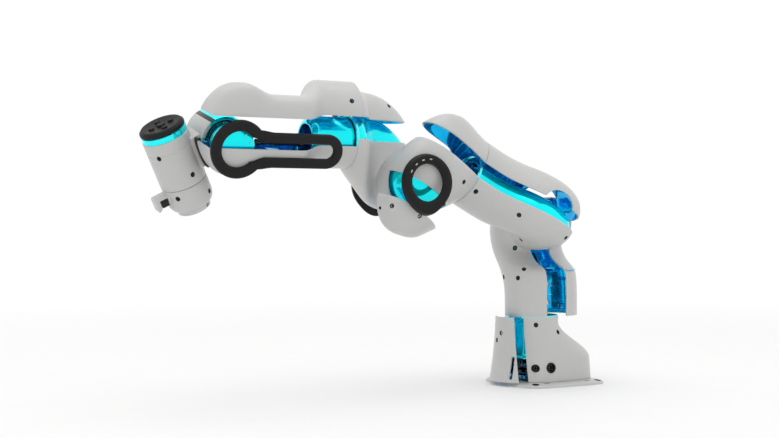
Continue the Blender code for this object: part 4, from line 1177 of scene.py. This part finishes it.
def make_pilot():
    cap = Pieces()
    cap.turned(((POD_R - 0.0022, PILOT_LOW), (POD_R - 0.0010, PILOT_LOW + 0.0010),
                (POD_R - 0.0010, PILOT_LOW + 0.0042), (POD_R - 0.0016, PILOT_LOW + 0.0056),
                (POD_R - 0.0052, PILOT_HIGH - 0.0004), (POD_R - 0.0068, PILOT_HIGH),
                (0.0310, PILOT_HIGH - 0.0010), (0.0200, PILOT_HIGH - 0.0022),
                (0.0125, PILOT_HIGH - 0.0026), (0.0004, PILOT_HIGH - 0.0026)), "Z", (WRIST_X, 0, 0), 96)
    mesh = cap.mesh("pilot_panel", DARK)
    wells = Pieces()
    for _, x, y, radius in PILOT_KEYS:
        wells.turned(((radius + GAP, PILOT_HIGH - 0.0055), (radius + GAP, PILOT_HIGH + 0.01)), "Z",
                     (WRIST_X + x, y, 0), 40)
    mesh = boolean(mesh, "pilot_panel", wells.mesh("wells"))
    show("pilot_panel", bevelled(mesh, "pilot_panel", 0.0003, 2, 40.0), DARK, LINK_6, "wrist",
         "dark_trim", "pilot_cap")
    for name, x, y, radius in PILOT_KEYS:
        key = Pieces()
        key.turned(((radius - 0.0004, PILOT_HIGH - 0.0030), (radius, PILOT_HIGH - 0.0026),
                    (radius, PILOT_HIGH + 0.0003), (radius - 0.0010, PILOT_HIGH + 0.0011),
                    (radius * 0.45, PILOT_HIGH + 0.0009), (0.0003, PILOT_HIGH + 0.0007)), "Z",
                   (WRIST_X + x, y, 0), 40)
        node = "pilot_centre_button" if name == "centre" else "pilot_button_" + name
        key.show("pilot_key_" + name, KEY, LINK_6, "pilot_" + name,
             "button_rubber", node)


# ---- tool mount ---------------------------------------------------------------------------------
def make_tool_mount():
    body = Pieces()
    body.turned(((0.0330, -0.0985), (0.0345, -0.0978), (0.0375, -0.0955), (0.0402, -0.0915),
                 (0.0422, -0.0860), (0.0429, -0.0790), (POD_R, -0.0720), (POD_R, SEAM_7 - GAP - 0.0012),
                 (POD_R - 0.0008, SEAM_7 - GAP)), "Z", around=96)
    mesh = body.mesh("tool_housing", WHITE)
    nose = Pieces()
    nose.box((0.020, -0.017, -0.088), (0.066, 0.017, -0.056), 0.004)
    wedge = Pieces()
    slope = Matrix.Translation((0.066, 0, -0.088)) @ Matrix.Rotation(math.radians(40), 4, "Y")
    wedge.box((-0.03, -0.05, -0.03), (0.03, 0.05, 0.006), 0.0, slope)
    nose_mesh = boolean(nose.mesh("nose", WHITE), "nose", wedge.mesh("wedge"))
    mesh = boolean(mesh, "tool_housing", nose_mesh, "UNION")
    cuts = Pieces()
    cuts.turned(((0.036, -0.070), (0.036, SEAM_7 + 0.01)), "Z", around=96)
    mesh = boolean(mesh, "tool_housing", cuts.mesh("tool_bore"))
    for side in (1, -1):
        wells = Pieces()
        middle = side * 0.0170
        wells.box((KEY_X[0] - 0.001, middle - 0.004, KEY_Z[0] - 0.001),
                  (KEY_X[1] + 0.001, middle + 0.004, KEY_Z[1] + 0.001), 0.0008)
        mesh = boolean(mesh, "tool_housing", wells.mesh("key_well"))
    mesh = bevelled(mesh, "tool_housing", 0.0010, 3, 35.0)
    places = [side_hole(0.0299, 0.0309, -0.0640, (0.68, 0.73, 0.0)),
              side_hole(-0.0304, 0.0304, -0.0780, (-0.70, 0.70, 0.0)),
              side_hole(-0.0304, -0.0304, -0.0780, (-0.70, -0.70, 0.0))]
    mesh = boolean(mesh, "tool_housing", holes_at(places))
    show("tool_housing", mesh, WHITE, LINK_7, "tool_mount", "white_housing", "tool_mount_housing")
    screws_at("tool_screws", places, LINK_7, "tool_mount", 0.0024)
    output = Pieces()
    output.turned(((0.020, -0.0680), (0.0300, -0.0680), (0.0340, -0.0660), (0.0340, -0.0550),
                   (0.0300, -0.0528), (0.020, -0.0528)), closed=True, around=96)
    output.show("output_7", STEEL, LINK_7, "tool_mount", "steel_drive",
         "joint_7_output")
    flange = Pieces()
    flange.turned(((0.0305, FLANGE_Z), (0.0315, FLANGE_Z + 0.0008), (0.0315, -0.0995), (0.0310, -0.0990)),
                  "Z", around=96)
    mesh = flange.mesh("flange", STEEL)
    holes = Pieces()
    for i in range(4):
        angle = math.radians(45 + 90 * i)
        holes.turned(((0.003, -0.12), (0.003, FLANGE_Z + 0.0072)), "Z",
                     (0.025 * math.cos(angle), 0.025 * math.sin(angle), 0), 32)
    mesh = boolean(mesh, "flange", holes.mesh("flange_holes"))
    recess = Pieces()
    recess.turned(((0.01575, FLANGE_Z - 0.01), (0.01575, FLANGE_Z + 0.005)), around=64)
    mesh = boolean(mesh, "flange", recess.mesh("recess"))
    show("flange", bevelled(mesh, "flange", 0.0003, 2, 40.0), STEEL, LINK_7, "tool_mount",
         "steel_drive", "tool_flange")
    for name, node, side in (("guide_left", "guiding_button_left", 1),
                             ("guide_right", "guiding_button_right", -1)):
        key = Pieces()
        low, high = sorted(side * depth for depth in KEY_DEPTH)
        key.box((KEY_X[0], low, KEY_Z[0]), (KEY_X[1], high, KEY_Z[1]), 0.0012)
        show("guiding_key_" + name[6:], key.mesh(node + "_look"), KEY, LINK_7, name, "button_rubber",
             node)


# ---- build --------------------------------------------------------------------------------------
make_foot()
make_base_shells()
make_sockets()
make_base_inside()
make_column()
make_upper_arm()
make_elbow_upper()
make_elbow_lower()
make_forearm()
make_wrist()
make_pilot()
make_tool_mount()


# ---- studio -------------------------------------------------------------------------------------
def looking(place, target):
    """The matrix of a camera or lamp at a place, aimed at a target."""
    return Matrix.Translation(place) @ (target - place).to_track_quat("-Z", "Y").to_matrix().to_4x4()


def make_studio():
    bm = bmesh.new()
    bmesh.ops.create_grid(bm, x_segments=24, y_segments=24, size=60.0)
    mesh = to_mesh(bm, "floor")
    mesh.materials.append(FLOOR)
    floor = bpy.data.objects.new("floor", mesh)
    bpy.context.scene.collection.objects.link(floor)

    world = bpy.data.worlds.new("studio_world")
    world.use_nodes = True
    world.node_tree.nodes["Background"].inputs["Color"].default_value = (1, 1, 1, 1)
    world.node_tree.nodes["Background"].inputs["Strength"].default_value = 1.0
    bpy.context.scene.world = world

    lamp = bpy.data.lights.new("key_light", "AREA")
    lamp.size = 2.4
    lamp.energy = 18.0
    holder = bpy.data.objects.new("key_light", lamp)
    bpy.context.scene.collection.objects.link(holder)
    holder.matrix_world = looking(Vector((0.5, 0.3, 2.8)), Vector((0.35, 0, 0.25)))


def make_camera():
    lens = bpy.data.cameras.new("camera")
    lens.lens = 62.46
    lens.sensor_width = 36.0
    lens.clip_end = 100.0
    lens.dof.use_dof = False
    holder = bpy.data.objects.new("camera", lens)
    bpy.context.scene.collection.objects.link(holder)
    holder.matrix_world = looking(Vector((1.667, 2.295, 0.342)), Vector((0.342, 0.0, 0.342)))
    bpy.context.scene.camera = holder


make_studio()
make_camera()
bpy.context.scene.view_settings.view_transform = "Standard"
